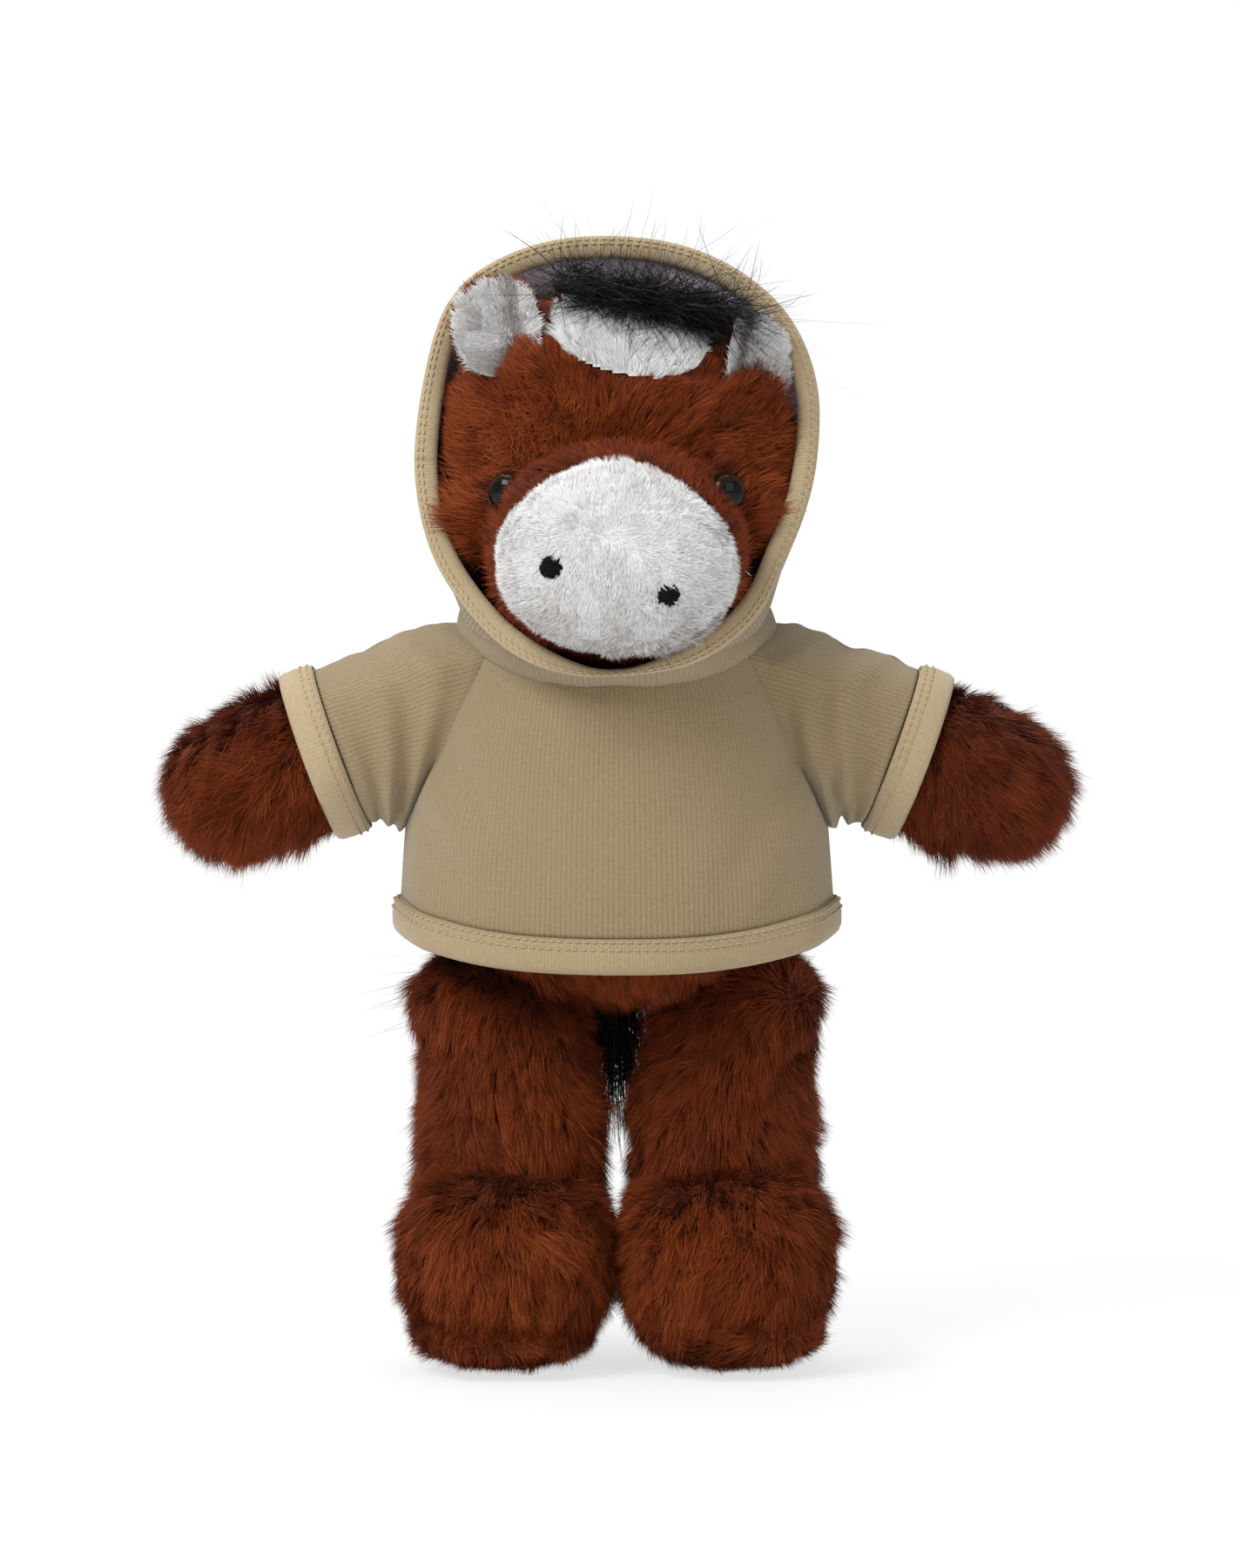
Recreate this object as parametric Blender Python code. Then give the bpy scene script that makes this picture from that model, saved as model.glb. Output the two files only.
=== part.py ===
"""A stuffed toy horse that stands in a hooded shirt.

Metres, +Z up. The toy faces -Y and its own left side is +X. The origin is on the floor under the middle.
Each limb starts as a ball about its joint, so that it turns in a round socket in the body.
"""

import math

import bmesh
import bpy
from mathutils import Matrix, Vector

# Clearances and cloths
GAP = 0.0003
BALL_CLEARANCE = 0.0008
ROOM_CLEARANCE = 0.0013
OVERRUN = 0.004
CLOTH = 0.0012
FOLD_EXTRA = 0.0007
PLUSH = 0.003
LIMB_CAP_SHARE = 0.25
SIDES = {"right": -1, "left": 1}

# Body
BODY_BASE = 0.094
BODY_LENGTH = 0.096
BODY_TOP = BODY_BASE + BODY_LENGTH
BODY_HALF_WIDTH = 0.0515
BODY_HALF_DEPTH = 0.0405
BODY_WIDTH_SHARES = ((0, 0.86), (0.3, 1.0), (0.55, 0.97), (0.75, 0.9), (1, 0.8))
BODY_DEPTH_SHARES = ((0, 0.86), (0.3, 1.0), (0.6, 0.97), (1, 0.84))
BODY_BLUNTNESS = 2.8

# Neck
NECK_RISE = 0.0025
NECK_HEIGHT = BODY_TOP + NECK_RISE
NECK_RADIUS = 0.024

# Head and snout
HEAD_RISE = 0.050
HEAD_HEIGHT = NECK_HEIGHT + HEAD_RISE
HEAD_HALF_WIDTH = 0.048
HEAD_HALF_DEPTH = 0.046
HEAD_HALF_HEIGHT = 0.0478
HEAD_BLUNTNESS = 2.15
SNOUT_HALF_WIDTH = 0.0352
SNOUT_HALF_LENGTH = 0.046
SNOUT_HALF_HEIGHT = 0.0295
SNOUT_REACH = 0.034
SNOUT_DROP = 0.0225
SNOUT_TILT = math.radians(11)
MUZZLE_HALF_WIDTH = 0.0314
MUZZLE_HALF_HEIGHT = 0.0268
MUZZLE_BULGE = 0.0225
MUZZLE_SEAM_REACH = 0.0585
MUZZLE_BLUNTNESS = 2.3
NOSTRIL_RADIUS = 0.0033
NOSTRIL_RISE = 0.0016
NOSTRIL_SPREAD = 0.0155
NOSTRIL_DROP = 0.0020
NOSTRIL_TILT = math.radians(12)

# Eyes
EYE_RADIUS = 0.0053
EYE_DOME = 0.0042
EYE_SPREAD = 0.0278
EYE_DROP = 0.0095
EYE_FLANGE = 0.001
STEM_RADIUS = 0.0018
STEM_LENGTH = 0.0061
WASHER_RADIUS = 0.0055
WASHER_THICKNESS = 0.0032
WASHER_BLUNTNESS = 6.0
EYE_ROOM_BLUNTNESS = 8.0
EYE_DOME_STEPS = 4

# Blaze, ears and forelock
BLAZE_HALF_WIDTH = 0.0205
BLAZE_RISE = 0.03175
BLAZE_HALF_HEIGHT = 0.01075
BLAZE_THICKNESS = 0.0015
BLAZE_BLUNTNESS = 3.0
EAR_HALF_WIDTH = 0.0135
EAR_HALF_HEIGHT = 0.0155
EAR_HALF_THICKNESS = 0.0028
EAR_LINING_INSET = 0.0030
EAR_LINING_THICKNESS = 0.0014
EAR_SPREAD = {"right": 0.0295, "left": 0.0298}
EAR_RISE = {"right": 0.0320, "left": 0.0235}
EAR_REACH = {"right": 0.0265, "left": 0.0225}
EAR_TURN = {"right": math.radians(12), "left": math.radians(38)}
EAR_LEAN = {"right": math.radians(12), "left": math.radians(18)}
FORELOCK_HALF_WIDTH = 0.0270
FORELOCK_HALF_DEPTH = 0.0120
FORELOCK_HALF_HEIGHT = 0.0085
FORELOCK_OFFSET = 0.006
FORELOCK_REACH = 0.0265
FORELOCK_RISE = 0.0420

# Arms
SHOULDER_SPREAD = 0.038
SHOULDER_DROP = 0.012
SHOULDER_HEIGHT = BODY_TOP - SHOULDER_DROP
ARM_DROOP = math.radians(20)
ARM_LENGTH = 0.089
ARM_SHOULDER_RADIUS = 0.0165
ARM_CUFF_RADIUS = 0.0202
ARM_PAW_RADIUS = 0.0238
ARM_END_RADIUS = 0.0215
ARM_STATION_SHARES = (0, 0.55, 0.85, 1)
ARM_LOWERED = math.radians(12)

# Legs and feet
HIP_SPREAD = 0.0303
HIP_DROP = 0.006
HIP_HEIGHT = BODY_BASE - HIP_DROP
LEG_END_HEIGHT = 0.016
LEG_LENGTH = HIP_HEIGHT - LEG_END_HEIGHT
LEG_HIP_RADIUS = 0.0240
LEG_MIDDLE_RADIUS = 0.0248
LEG_ANKLE_RADIUS = 0.0242
LEG_STATION_SHARES = (0, 0.5, 1)
LEG_FORWARD = math.radians(70)
FOOT_SPREAD = 0.0302
FOOT_HALF_WIDTH = 0.0294
FOOT_HALF_LENGTH = 0.0350
FOOT_HALF_HEIGHT = 0.0270
FOOT_FORWARD = 0.0100
FOOT_HEIGHT = 0.0310
FOOT_BLUNTNESS = 2.5
SOLE_HALF_WIDTH = 0.0262
SOLE_HALF_LENGTH = 0.0330
SOLE_HALF_HEIGHT = 0.0120
SOLE_FORWARD = 0.0090
SOLE_FLAT = 0.0005
SOLE_BLUNTNESS = 4.0

# Tail
TAIL_REACH = 0.0330
TAIL_RISE = 0.011
TAIL_LENGTH = 0.058
TAIL_HALF_WIDTH = 0.0085
TAIL_HALF_DEPTH = 0.0050
TAIL_SLANT = math.radians(17)

# Shirt
SHIRT_OVERHANG = 0.022
SHIRT_BASE = BODY_BASE - SHIRT_OVERHANG
SHIRT_TOP = BODY_TOP + SHIRT_OVERHANG
SHIRT_HALF_WIDTH = 0.0588
SHIRT_HALF_DEPTH = 0.0452
SHIRT_WIDTH_SHARES = (
    (0, 1.0),
    (0.24, 1.0),
    (0.38, 0.975),
    (0.535, 0.935),
    (0.686, 0.86),
    (0.785, 0.76),
    (0.85, 0.68),
    (1, 0.56),
)
SHIRT_DEPTH_SHARES = ((0, 1.0), (0.38, 1.0), (0.535, 0.97), (0.686, 0.93), (0.85, 0.86), (1, 0.7))
SHIRT_BLUNTNESS = 5.0
SLEEVE_RADIUS = 0.0225
CUFF_START = 0.0375
CUFF_WIDTH = 0.0095
SLEEVE_OVERRUN = 0.033
SLEEVE_LENGTH = CUFF_START + CUFF_WIDTH + SLEEVE_OVERRUN
CUFF_CLEARANCE = 0.0004
HEM_RISE = 0.0115
HEM_CENTRE_HEIGHT = BODY_BASE + HEM_RISE
HEM_SIDE_RISE = 0.0115
HEM_WIDTH = 0.0095
HEM_RISE_POWER = 4
RAGLAN_NECK_SPREAD = 0.0355
RAGLAN_NECK_RISE = 0.010
RAGLAN_PIT_SPREAD = 0.055
RAGLAN_PIT_DROP = 0.031
NECKLINE_HALF_WIDTH = 0.0425
NECKLINE_HALF_DEPTH = 0.0368
NECKLINE_DEPTH = 0.028
NECKLINE_BASE = SHOULDER_HEIGHT - NECKLINE_DEPTH
NECKLINE_DROP = 0.005
NECKLINE_TOP = NECK_HEIGHT - NECKLINE_DROP

# Hood
COLLAR_RISE = 0.0040
COLLAR_WIDTH = 0.0063
COLLAR_LOW = NECK_HEIGHT + COLLAR_RISE
COLLAR_HIGH = COLLAR_LOW + COLLAR_WIDTH
COLLAR_SLOPE_SHARE = 0.30
HOOD_DROP = 0.0015
HOOD_CENTRE_HEIGHT = HEAD_HEIGHT - HOOD_DROP
HOOD_HALF_WIDTH = 0.0538
HOOD_HALF_HEIGHT = 0.0590
HOOD_SQUARENESS = 2.5
HOOD_RIM_REACH = 0.0215
HOOD_RIM_LEAN_SHARE = 0.30
HOOD_BACK_DEPTH = 0.077
HOOD_BACK_BLUNTNESS = 2.5
HOOD_BACK_DROP = 0.004
RIM_HALF_WIDTH = 0.0040
RIM_HALF_DEPTH = 0.0028
RIM_CHIN_REACH = 0.010
RIM_CHIN_SHARE = 0.55
RIM_CHIN_POWER = 4
RIM_RING_SHARE = 0.25
LINING_THICKNESS = 0.0010

# Place on the floor
MUZZLE_FRONT_REACH = 0.0811
CENTRE_SHIFT = (MUZZLE_FRONT_REACH + HOOD_RIM_REACH - HOOD_BACK_DEPTH) / 2


def clear_scene():
    for old in list(bpy.data.objects):
        bpy.data.objects.remove(old)


def make_collection(name):
    made = bpy.data.collections.new(name)
    bpy.context.scene.collection.children.link(made)
    return made


def make_material(name, colour, roughness):
    """An opaque, non-metallic material."""
    made = bpy.data.materials.new(name)
    made.use_nodes = True
    shader = made.node_tree.nodes["Principled BSDF"]
    shader.inputs["Base Color"].default_value = (*colour, 1)
    shader.inputs["Roughness"].default_value = roughness
    shader.inputs["Metallic"].default_value = 0
    return made


clear_scene()
PARTS = make_collection("plush_horse")
CUTTERS = make_collection("cutters")
MATERIALS = {
    "brown_plush": make_material("brown_plush", (0.13, 0.03, 0.012), 0.95),
    "white_plush": make_material("white_plush", (0.72, 0.71, 0.70), 0.95),
    "black_hair": make_material("black_hair", (0.008, 0.007, 0.008), 0.6),
    "stuffing": make_material("stuffing", (0.85, 0.85, 0.83), 1.0),
    "eye_plastic": make_material("eye_plastic", (0.012, 0.007, 0.005), 0.1),
    "washer_plastic": make_material("washer_plastic", (0.75, 0.75, 0.72), 0.4),
    "black_thread": make_material("black_thread", (0.012, 0.011, 0.012), 0.8),
    "tan_jersey": make_material("tan_jersey", (0.40, 0.31, 0.19), 0.9),
    "grey_fleece": make_material("grey_fleece", (0.45, 0.42, 0.47), 0.95),
}


def between(table, share):
    """The value at a share of the way, on straight runs between a table's (share, value) rows."""
    for (low, first), (high, second) in zip(table, table[1:]):
        if share <= high:
            return first + (second - first) * (share - low) / (high - low)
    return table[-1][1]


def signed_power(value, power):
    return math.copysign(abs(value) ** power, value)


def blunted(point, power):
    """A unit-sphere point moved out to the unit shape whose coordinates' powers sum to one."""
    reach = sum(abs(value) ** power for value in point) ** (1 / power)
    return point / reach


def blob(centre, half, power=2.0, inset=0.0):
    """Places unit-sphere points on an ellipsoid, blunter with a higher power."""
    sizes = Vector([size - inset for size in half])

    def place(point):
        shaped = blunted(point, power)
        return centre + Vector([value * size for value, size in zip(shaped, sizes)])

    return place


def column(base, top, half_width, half_depth, widths, depths, power, inset=0.0):
    """Places unit-sphere points on an upright soft column that swells and tapers by its tables."""

    def place(point):
        rise = (1 + point.z) / 2
        ring = math.hypot(point.x, point.y) or 1
        close = max(0, 1 - abs(point.z) ** power) ** (1 / power)
        across = (half_width * between(widths, rise) - inset) * close
        deep = (half_depth * between(depths, rise) - inset) * close
        low = base + inset
        high = top - inset
        return Vector((point.x / ring * across, point.y / ring * deep, low + (high - low) * rise))

    return place


def limb(length, radii, stations, inset=0.0):
    """Places unit-sphere points on a limb along +X: a ball about the joint, its swell, and a round end."""
    joint_radius = radii[0] - inset
    end_radius = radii[-1] - inset
    reach = length - radii[-1]
    table = list(zip(stations, radii))

    def place(point):
        turn = math.acos(max(-1, min(1, point.x))) / math.pi
        ring = math.hypot(point.y, point.z) or 1
        if turn > 1 - LIMB_CAP_SHARE:
            angle = (1 - turn) / LIMB_CAP_SHARE * math.pi / 2
            along = -joint_radius * math.cos(angle)
            radius = joint_radius * math.sin(angle)
        elif turn < LIMB_CAP_SHARE:
            angle = turn / LIMB_CAP_SHARE * math.pi / 2
            along = reach + end_radius * math.cos(angle)
            radius = end_radius * math.sin(angle)
        else:
            share = (1 - LIMB_CAP_SHARE - turn) / (1 - 2 * LIMB_CAP_SHARE)
            along = reach * share
            radius = between(table, share) - inset
        return Vector((along, point.y / ring * radius, point.z / ring * radius))

    return place


def new_object(name, mesh, material=None, smooth=True):
    """An object for a part if it has a material, else a cutter."""
    made = bpy.data.objects.new(name, mesh)
    if material:
        PARTS.objects.link(made)
        mesh.materials.append(MATERIALS[material])
    else:
        CUTTERS.objects.link(made)
        made.hide_render = True
        made.display_type = "WIRE"
    if smooth:
        mesh.shade_smooth()
    return made


def form(name, place, around, along, material=None, axis="Z"):
    """A closed round form: a unit sphere whose points are placed by a function."""
    turns = {"Z": Matrix.Identity(3), "X": Matrix.Rotation(math.pi / 2, 3, "Y")}
    turns["Y"] = Matrix.Rotation(-math.pi / 2, 3, "X")
    shape = bmesh.new()
    bmesh.ops.create_uvsphere(shape, u_segments=around, v_segments=along, radius=1)
    for vert in shape.verts:
        vert.co = place(turns[axis] @ vert.co)
    mesh = bpy.data.meshes.new(name)
    face_outwards(shape)
    shape.to_mesh(mesh)
    shape.free()
    return new_object(name, mesh, material)


def face_outwards(shape):
    """Turns a closed shape's faces to point out of it."""
    if shape.calc_volume(signed=True) < 0:
        bmesh.ops.reverse_faces(shape, faces=shape.faces)


def block(name, low, high):
    """A box cutter from its low corner to its high corner."""
    shape = bmesh.new()
    bmesh.ops.create_cube(shape, size=1)
    for vert in shape.verts:
        corner = [b if value > 0 else a for a, b, value in zip(low, high, vert.co)]
        vert.co = Vector(corner)
    mesh = bpy.data.meshes.new(name)
    shape.to_mesh(mesh)
    shape.free()
    return new_object(name, mesh, smooth=False)


def oval_prism(name, half_width, half_depth, low, high, material=None):
    """An upright prism with an oval outline."""
    shape = bmesh.new()
    bmesh.ops.create_cone(shape, segments=24, radius1=1, radius2=1, depth=1, cap_ends=True)
    for vert in shape.verts:
        height = high if vert.co.z > 0 else low
        vert.co = Vector((vert.co.x * half_width, vert.co.y * half_depth, height))
    mesh = bpy.data.meshes.new(name)
    shape.to_mesh(mesh)
    shape.free()
    return new_object(name, mesh, material, smooth=False)


def boolean(target, tool, operation):
    step = target.modifiers.new(operation.lower(), "BOOLEAN")
    step.operation = operation
    step.solver = "EXACT"
    step.object = tool


def cut(target, *tools):
    for tool in tools:
        boolean(target, tool, "DIFFERENCE")


def keep(target, *tools):
    for tool in tools:
        boolean(target, tool, "INTERSECT")


def join(target, *tools):
    for tool in tools:
        boolean(target, tool, "UNION")


def joint_empty(name, place):
    """An empty on a joint's axis, which the pieces that turn there hang on."""
    made = bpy.data.objects.new(name, None)
    made.location = place
    PARTS.objects.link(made)
    return made


def attach(empty, *pieces):
    """Hangs pieces on an empty, with their places kept."""
    for piece in pieces:
        piece.parent = empty
        piece.matrix_parent_inverse = Matrix.Translation(-empty.location)


NECK = Vector((0, 0, NECK_HEIGHT))
TAIL_ROOT = Vector((0, TAIL_REACH, BODY_BASE + TAIL_RISE))
HEAD_CENTRE = Vector((0, 0, HEAD_HEIGHT))
SNOUT_AXIS = Matrix.Rotation(SNOUT_TILT, 4, "X")
SNOUT_PLACE = Matrix.Translation(Vector((0, -SNOUT_REACH, HEAD_HEIGHT - SNOUT_DROP))) @ SNOUT_AXIS
HEAD_SIZES = (HEAD_HALF_WIDTH, HEAD_HALF_DEPTH, HEAD_HALF_HEIGHT)
SNOUT_SIZES = (SNOUT_HALF_WIDTH, SNOUT_HALF_LENGTH, SNOUT_HALF_HEIGHT)


def shoulder(side):
    return Vector((SIDES[side] * SHOULDER_SPREAD, 0, SHOULDER_HEIGHT))


def hip(side):
    return Vector((SIDES[side] * HIP_SPREAD, 0, HIP_HEIGHT))


def arm_turn(side, raised=0.0):
    """The turn that lays a limb along +X out to this side, drooping, and raised from rest by an angle."""
    if SIDES[side] > 0:
        return Matrix.Rotation(ARM_DROOP - raised, 4, "Y")
    return Matrix.Rotation(math.pi - ARM_DROOP + raised, 4, "Y")


def leg_turn(forward=0.0):
    """The turn that lays a limb along +X down a leg, swung forward from rest by an angle."""
    return Matrix.Rotation(-forward, 4, "X") @ Matrix.Rotation(math.pi / 2, 4, "Y")


def set_place(piece, place, turn=None):
    piece.matrix_world = Matrix.Translation(place) @ (turn or Matrix.Identity(4))


def arm_form(name, side, inset, material=None, raised=0.0, around=16, along=14):
    radii = (ARM_SHOULDER_RADIUS, ARM_CUFF_RADIUS, ARM_PAW_RADIUS, ARM_END_RADIUS)
    place = limb(ARM_LENGTH, radii, ARM_STATION_SHARES, inset)
    made = form(name, place, around, along, material, axis="X")
    set_place(made, shoulder(side), arm_turn(side, raised))
    return made


def leg_form(name, side, inset, material=None, forward=0.0, around=16, along=12):
    radii = (LEG_HIP_RADIUS, LEG_MIDDLE_RADIUS, LEG_ANKLE_RADIUS)
    place = limb(LEG_LENGTH, radii, LEG_STATION_SHARES, inset)
    made = form(name, place, around, along, material, axis="X")
    set_place(made, hip(side), leg_turn(forward))
    return made


def foot_form(name, side, inset, material=None, around=16, along=10):
    centre = Vector((SIDES[side] * FOOT_SPREAD, -FOOT_FORWARD, FOOT_HEIGHT))
    half = (FOOT_HALF_WIDTH, FOOT_HALF_LENGTH, FOOT_HALF_HEIGHT)
    return form(name, blob(centre, half, FOOT_BLUNTNESS, inset), around, along, material)


def sole_form(name, side, inset, material=None, around=14, along=8):
    height = SOLE_HALF_HEIGHT - SOLE_FLAT
    centre = Vector((SIDES[side] * FOOT_SPREAD, -SOLE_FORWARD, height))
    half = (SOLE_HALF_WIDTH, SOLE_HALF_LENGTH, SOLE_HALF_HEIGHT)
    return form(name, blob(centre, half, SOLE_BLUNTNESS, inset), around, along, material)


def body_form(name, inset, material=None, around=16, along=10):
    place = column(
        BODY_BASE,
        BODY_TOP,
        BODY_HALF_WIDTH,
        BODY_HALF_DEPTH,
        BODY_WIDTH_SHARES,
        BODY_DEPTH_SHARES,
        BODY_BLUNTNESS,
        inset,
    )
    return form(name, place, around, along, material)


def head_form(name, inset, material=None, around=16, along=10):
    place = blob(HEAD_CENTRE, HEAD_SIZES, HEAD_BLUNTNESS, inset)
    return form(name, place, around, along, material)


def snout_form(name, inset, material=None, around=16, along=10):
    made = form(name, blob(Vector(), SNOUT_SIZES, inset=inset), around, along, material, axis="Y")
    made.matrix_world = SNOUT_PLACE
    return made


def muzzle_form(name, inset, material=None, around=16, along=10):
    centre = Vector((0, SNOUT_REACH - MUZZLE_SEAM_REACH, 0))
    half = (MUZZLE_HALF_WIDTH, MUZZLE_BULGE, MUZZLE_HALF_HEIGHT)
    made = form(name, blob(centre, half, MUZZLE_BLUNTNESS, inset), around, along, material, axis="Y")
    made.matrix_world = SNOUT_PLACE
    return made


def neck_form(name, inset, material=None, around=16, along=10):
    radius = NECK_RADIUS - inset
    return form(name, blob(NECK, (radius, radius, radius)), around, along, material)


def ball_form(name, centre, radius, around=14, along=8):
    return form(name, blob(centre, (radius, radius, radius)), around, along)


def muzzle_seam_block(name, behind):
    """A block cutter on one side of the plane of the muzzle's seam, with half the seam's gap."""
    size = HEAD_HALF_WIDTH + HEAD_HALF_DEPTH
    seam = SNOUT_REACH - MUZZLE_SEAM_REACH
    if behind:
        made = block(name, (-size, seam - GAP / 2, -size), (size, size, size))
    else:
        made = block(name, (-size, -size, -size), (size, seam + GAP / 2, size))
    made.matrix_world = SNOUT_PLACE
    return made


def muzzle_overlap_tools():
    """Cutters that take the muzzle's and the snout's room out of each other."""
    return muzzle_seam_block("behind_muzzle_seam", True), muzzle_seam_block("before_muzzle_seam", False)


def swung_leg_room(side):
    """A cutter for the room that a leg sweeps as it swings forward: its last place and what is under it."""
    room = leg_form(f"leg_room_{side}", side, -ROOM_CLEARANCE, forward=LEG_FORWARD, around=12, along=8)
    square_up = Vector((0, -math.cos(LEG_FORWARD), math.sin(LEG_FORWARD)))
    for vert in room.data.vertices:
        place = room.matrix_world @ vert.co
        if (place - hip(side)).dot(square_up) < -GAP:
            vert.co = room.matrix_world.inverted() @ (place - Vector((0, 0, LEG_LENGTH)))
    return room


def neck_and_body():
    """The neck ball, and the body's skin over its stuffing, with sockets for the neck, arms and legs."""
    neck = neck_form("neck", 0, "brown_plush")
    skin = body_form("body_skin", 0, "brown_plush")
    hollow = body_form("body_hollow", PLUSH, around=12, along=8)
    stuffing = body_form("body_stuffing", PLUSH + GAP, "stuffing", around=12, along=8)
    sockets = [neck_form("neck_socket", -BALL_CLEARANCE)]
    sockets.append(ball_form("tail_socket", TAIL_ROOT, TAIL_HALF_DEPTH + BALL_CLEARANCE, 10, 6))
    for side in SIDES:
        room = ARM_SHOULDER_RADIUS + BALL_CLEARANCE
        sockets.append(ball_form(f"shoulder_socket_{side}", shoulder(side), room))
        lowered = arm_form(f"arm_room_{side}", side, -ROOM_CLEARANCE, raised=-ARM_LOWERED, around=12, along=8)
        sockets.append(lowered)
        sockets.append(ball_form(f"hip_socket_{side}", hip(side), LEG_HIP_RADIUS + BALL_CLEARANCE))
        sockets.append(swung_leg_room(side))
    cut(skin, hollow, *sockets)
    cut(stuffing, *sockets)
    hip_top = HIP_HEIGHT + LEG_HIP_RADIUS + GAP
    hips = block("above_hips", (-SHIRT_TOP, -SHIRT_TOP, 0), (SHIRT_TOP, SHIRT_TOP, hip_top))
    cut(stuffing, hips)
    return neck, skin, stuffing


def head_pieces():
    """The head's skin with its snout, its stuffing, and the white muzzle sewn on the front."""
    behind, before = muzzle_overlap_tools()
    socket = neck_form("head_socket", -BALL_CLEARANCE)
    skin = head_form("head_skin", 0, "brown_plush")
    snout = snout_form("snout", 0)
    cut(snout, before)
    join(skin, snout)
    hollow = head_form("head_hollow", PLUSH, around=14, along=8)
    snout_hollow = snout_form("snout_hollow", PLUSH, around=10, along=8)
    muzzle_bed = muzzle_seam_block("muzzle_bed", False)
    muzzle_bed.matrix_world = SNOUT_PLACE @ Matrix.Translation((0, PLUSH, 0))
    cut(snout_hollow, muzzle_bed)
    join(hollow, snout_hollow)
    cut(skin, hollow, socket)
    stuffing = head_form("head_stuffing", PLUSH + GAP, "stuffing", around=14, along=8)
    snout_core = snout_form("snout_core", PLUSH + GAP, around=10, along=8)
    core_bed = muzzle_seam_block("core_bed", False)
    core_bed.matrix_world = SNOUT_PLACE @ Matrix.Translation((0, PLUSH + GAP, 0))
    cut(snout_core, core_bed)
    join(stuffing, snout_core)
    cut(stuffing, socket)
    muzzle = muzzle_form("muzzle", 0, "white_plush")
    cut(muzzle, behind)
    return skin, stuffing, muzzle


def eye_place(side):
    """The eye's seat on the head's surface and the turn that points +Z out of it."""
    across = SIDES[side] * EYE_SPREAD
    rise = -EYE_DROP
    sideways = abs(across / HEAD_HALF_WIDTH) ** HEAD_BLUNTNESS
    share = 1 - sideways - abs(rise / HEAD_HALF_HEIGHT) ** HEAD_BLUNTNESS
    seat = Vector((across, -HEAD_HALF_DEPTH * share ** (1 / HEAD_BLUNTNESS), HEAD_HEIGHT + rise))
    slopes = [
        signed_power((a - b) / size, HEAD_BLUNTNESS - 1) / size
        for a, b, size in zip(seat, HEAD_CENTRE, HEAD_SIZES)
    ]
    return seat, Vector(slopes).to_track_quat("Z", "Y").to_matrix().to_4x4()


def turned(name, rows, around, material=None):
    """A closed round shape about +Z through (radius, height) rows, from its tip to its end."""
    shape = bmesh.new()
    line = [shape.verts.new((radius, 0, height)) for radius, height in rows]
    for first, second in zip(line, line[1:]):
        shape.edges.new((first, second))
    outline = shape.verts[:] + shape.edges[:]
    bmesh.ops.spin(shape, geom=outline, axis=(0, 0, 1), cent=(0, 0, 0), angle=math.tau, steps=around)
    bmesh.ops.remove_doubles(shape, verts=shape.verts, dist=GAP / 10)
    bmesh.ops.recalc_face_normals(shape, faces=shape.faces)
    face_outwards(shape)
    mesh = bpy.data.meshes.new(name)
    shape.to_mesh(mesh)
    shape.free()
    return new_object(name, mesh, material)


def eye_rows():
    """An eye's outline: its dome, its flange and its stem."""
    rows = []
    for step in range(EYE_DOME_STEPS + 1):
        angle = step / EYE_DOME_STEPS * math.pi / 2
        rows.append((EYE_RADIUS * math.sin(angle), GAP + EYE_FLANGE + EYE_DOME * math.cos(angle)))
    rows += [(EYE_RADIUS, GAP), (STEM_RADIUS, GAP), (STEM_RADIUS, -STEM_LENGTH), (0, -STEM_LENGTH)]
    return rows


def eye_pieces(side, skin, stuffing):
    """A safety eye: a dome on a stem through the skin, held from inside by a lock washer."""
    seat, turn = eye_place(side)
    eye = turned(f"eye_{side}", eye_rows(), 14, "eye_plastic")
    bore_radius = STEM_RADIUS + GAP
    bore_end = -STEM_LENGTH - GAP / 2
    bore_rows = ((0, EYE_DOME), (bore_radius, EYE_DOME), (bore_radius, bore_end), (0, bore_end))
    bore = turned(f"stem_bore_{side}", bore_rows, 10)
    washer_height = -PLUSH - WASHER_THICKNESS / 2
    washer_half = (WASHER_RADIUS, WASHER_RADIUS, WASHER_THICKNESS / 2)
    washer_place = blob(Vector((0, 0, washer_height)), washer_half, WASHER_BLUNTNESS)
    washer = form(f"eye_washer_{side}", washer_place, 14, 6, "washer_plastic")
    room_half = (WASHER_RADIUS + GAP, WASHER_RADIUS + GAP, WASHER_THICKNESS / 2 + GAP)
    room_shape = blob(Vector((0, 0, washer_height)), room_half, WASHER_BLUNTNESS)
    room = form(f"washer_room_{side}", room_shape, 14, 6)
    flange_half = (EYE_RADIUS + GAP * 2, EYE_RADIUS + GAP * 2, EYE_DOME)
    flange_place = blob(Vector((0, 0, EYE_DOME - GAP)), flange_half, EYE_ROOM_BLUNTNESS)
    flange_room = form(f"eye_room_{side}", flange_place, 14, 8)
    hollow = head_form(f"washer_limit_{side}", PLUSH + GAP / 2, around=14, along=8)
    for piece in (eye, bore, washer, room, flange_room):
        set_place(piece, seat, turn)
    cut(washer, bore)
    keep(washer, hollow)
    cut(skin, bore, flange_room)
    cut(stuffing, bore, room, flange_room)
    return eye, washer


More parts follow.
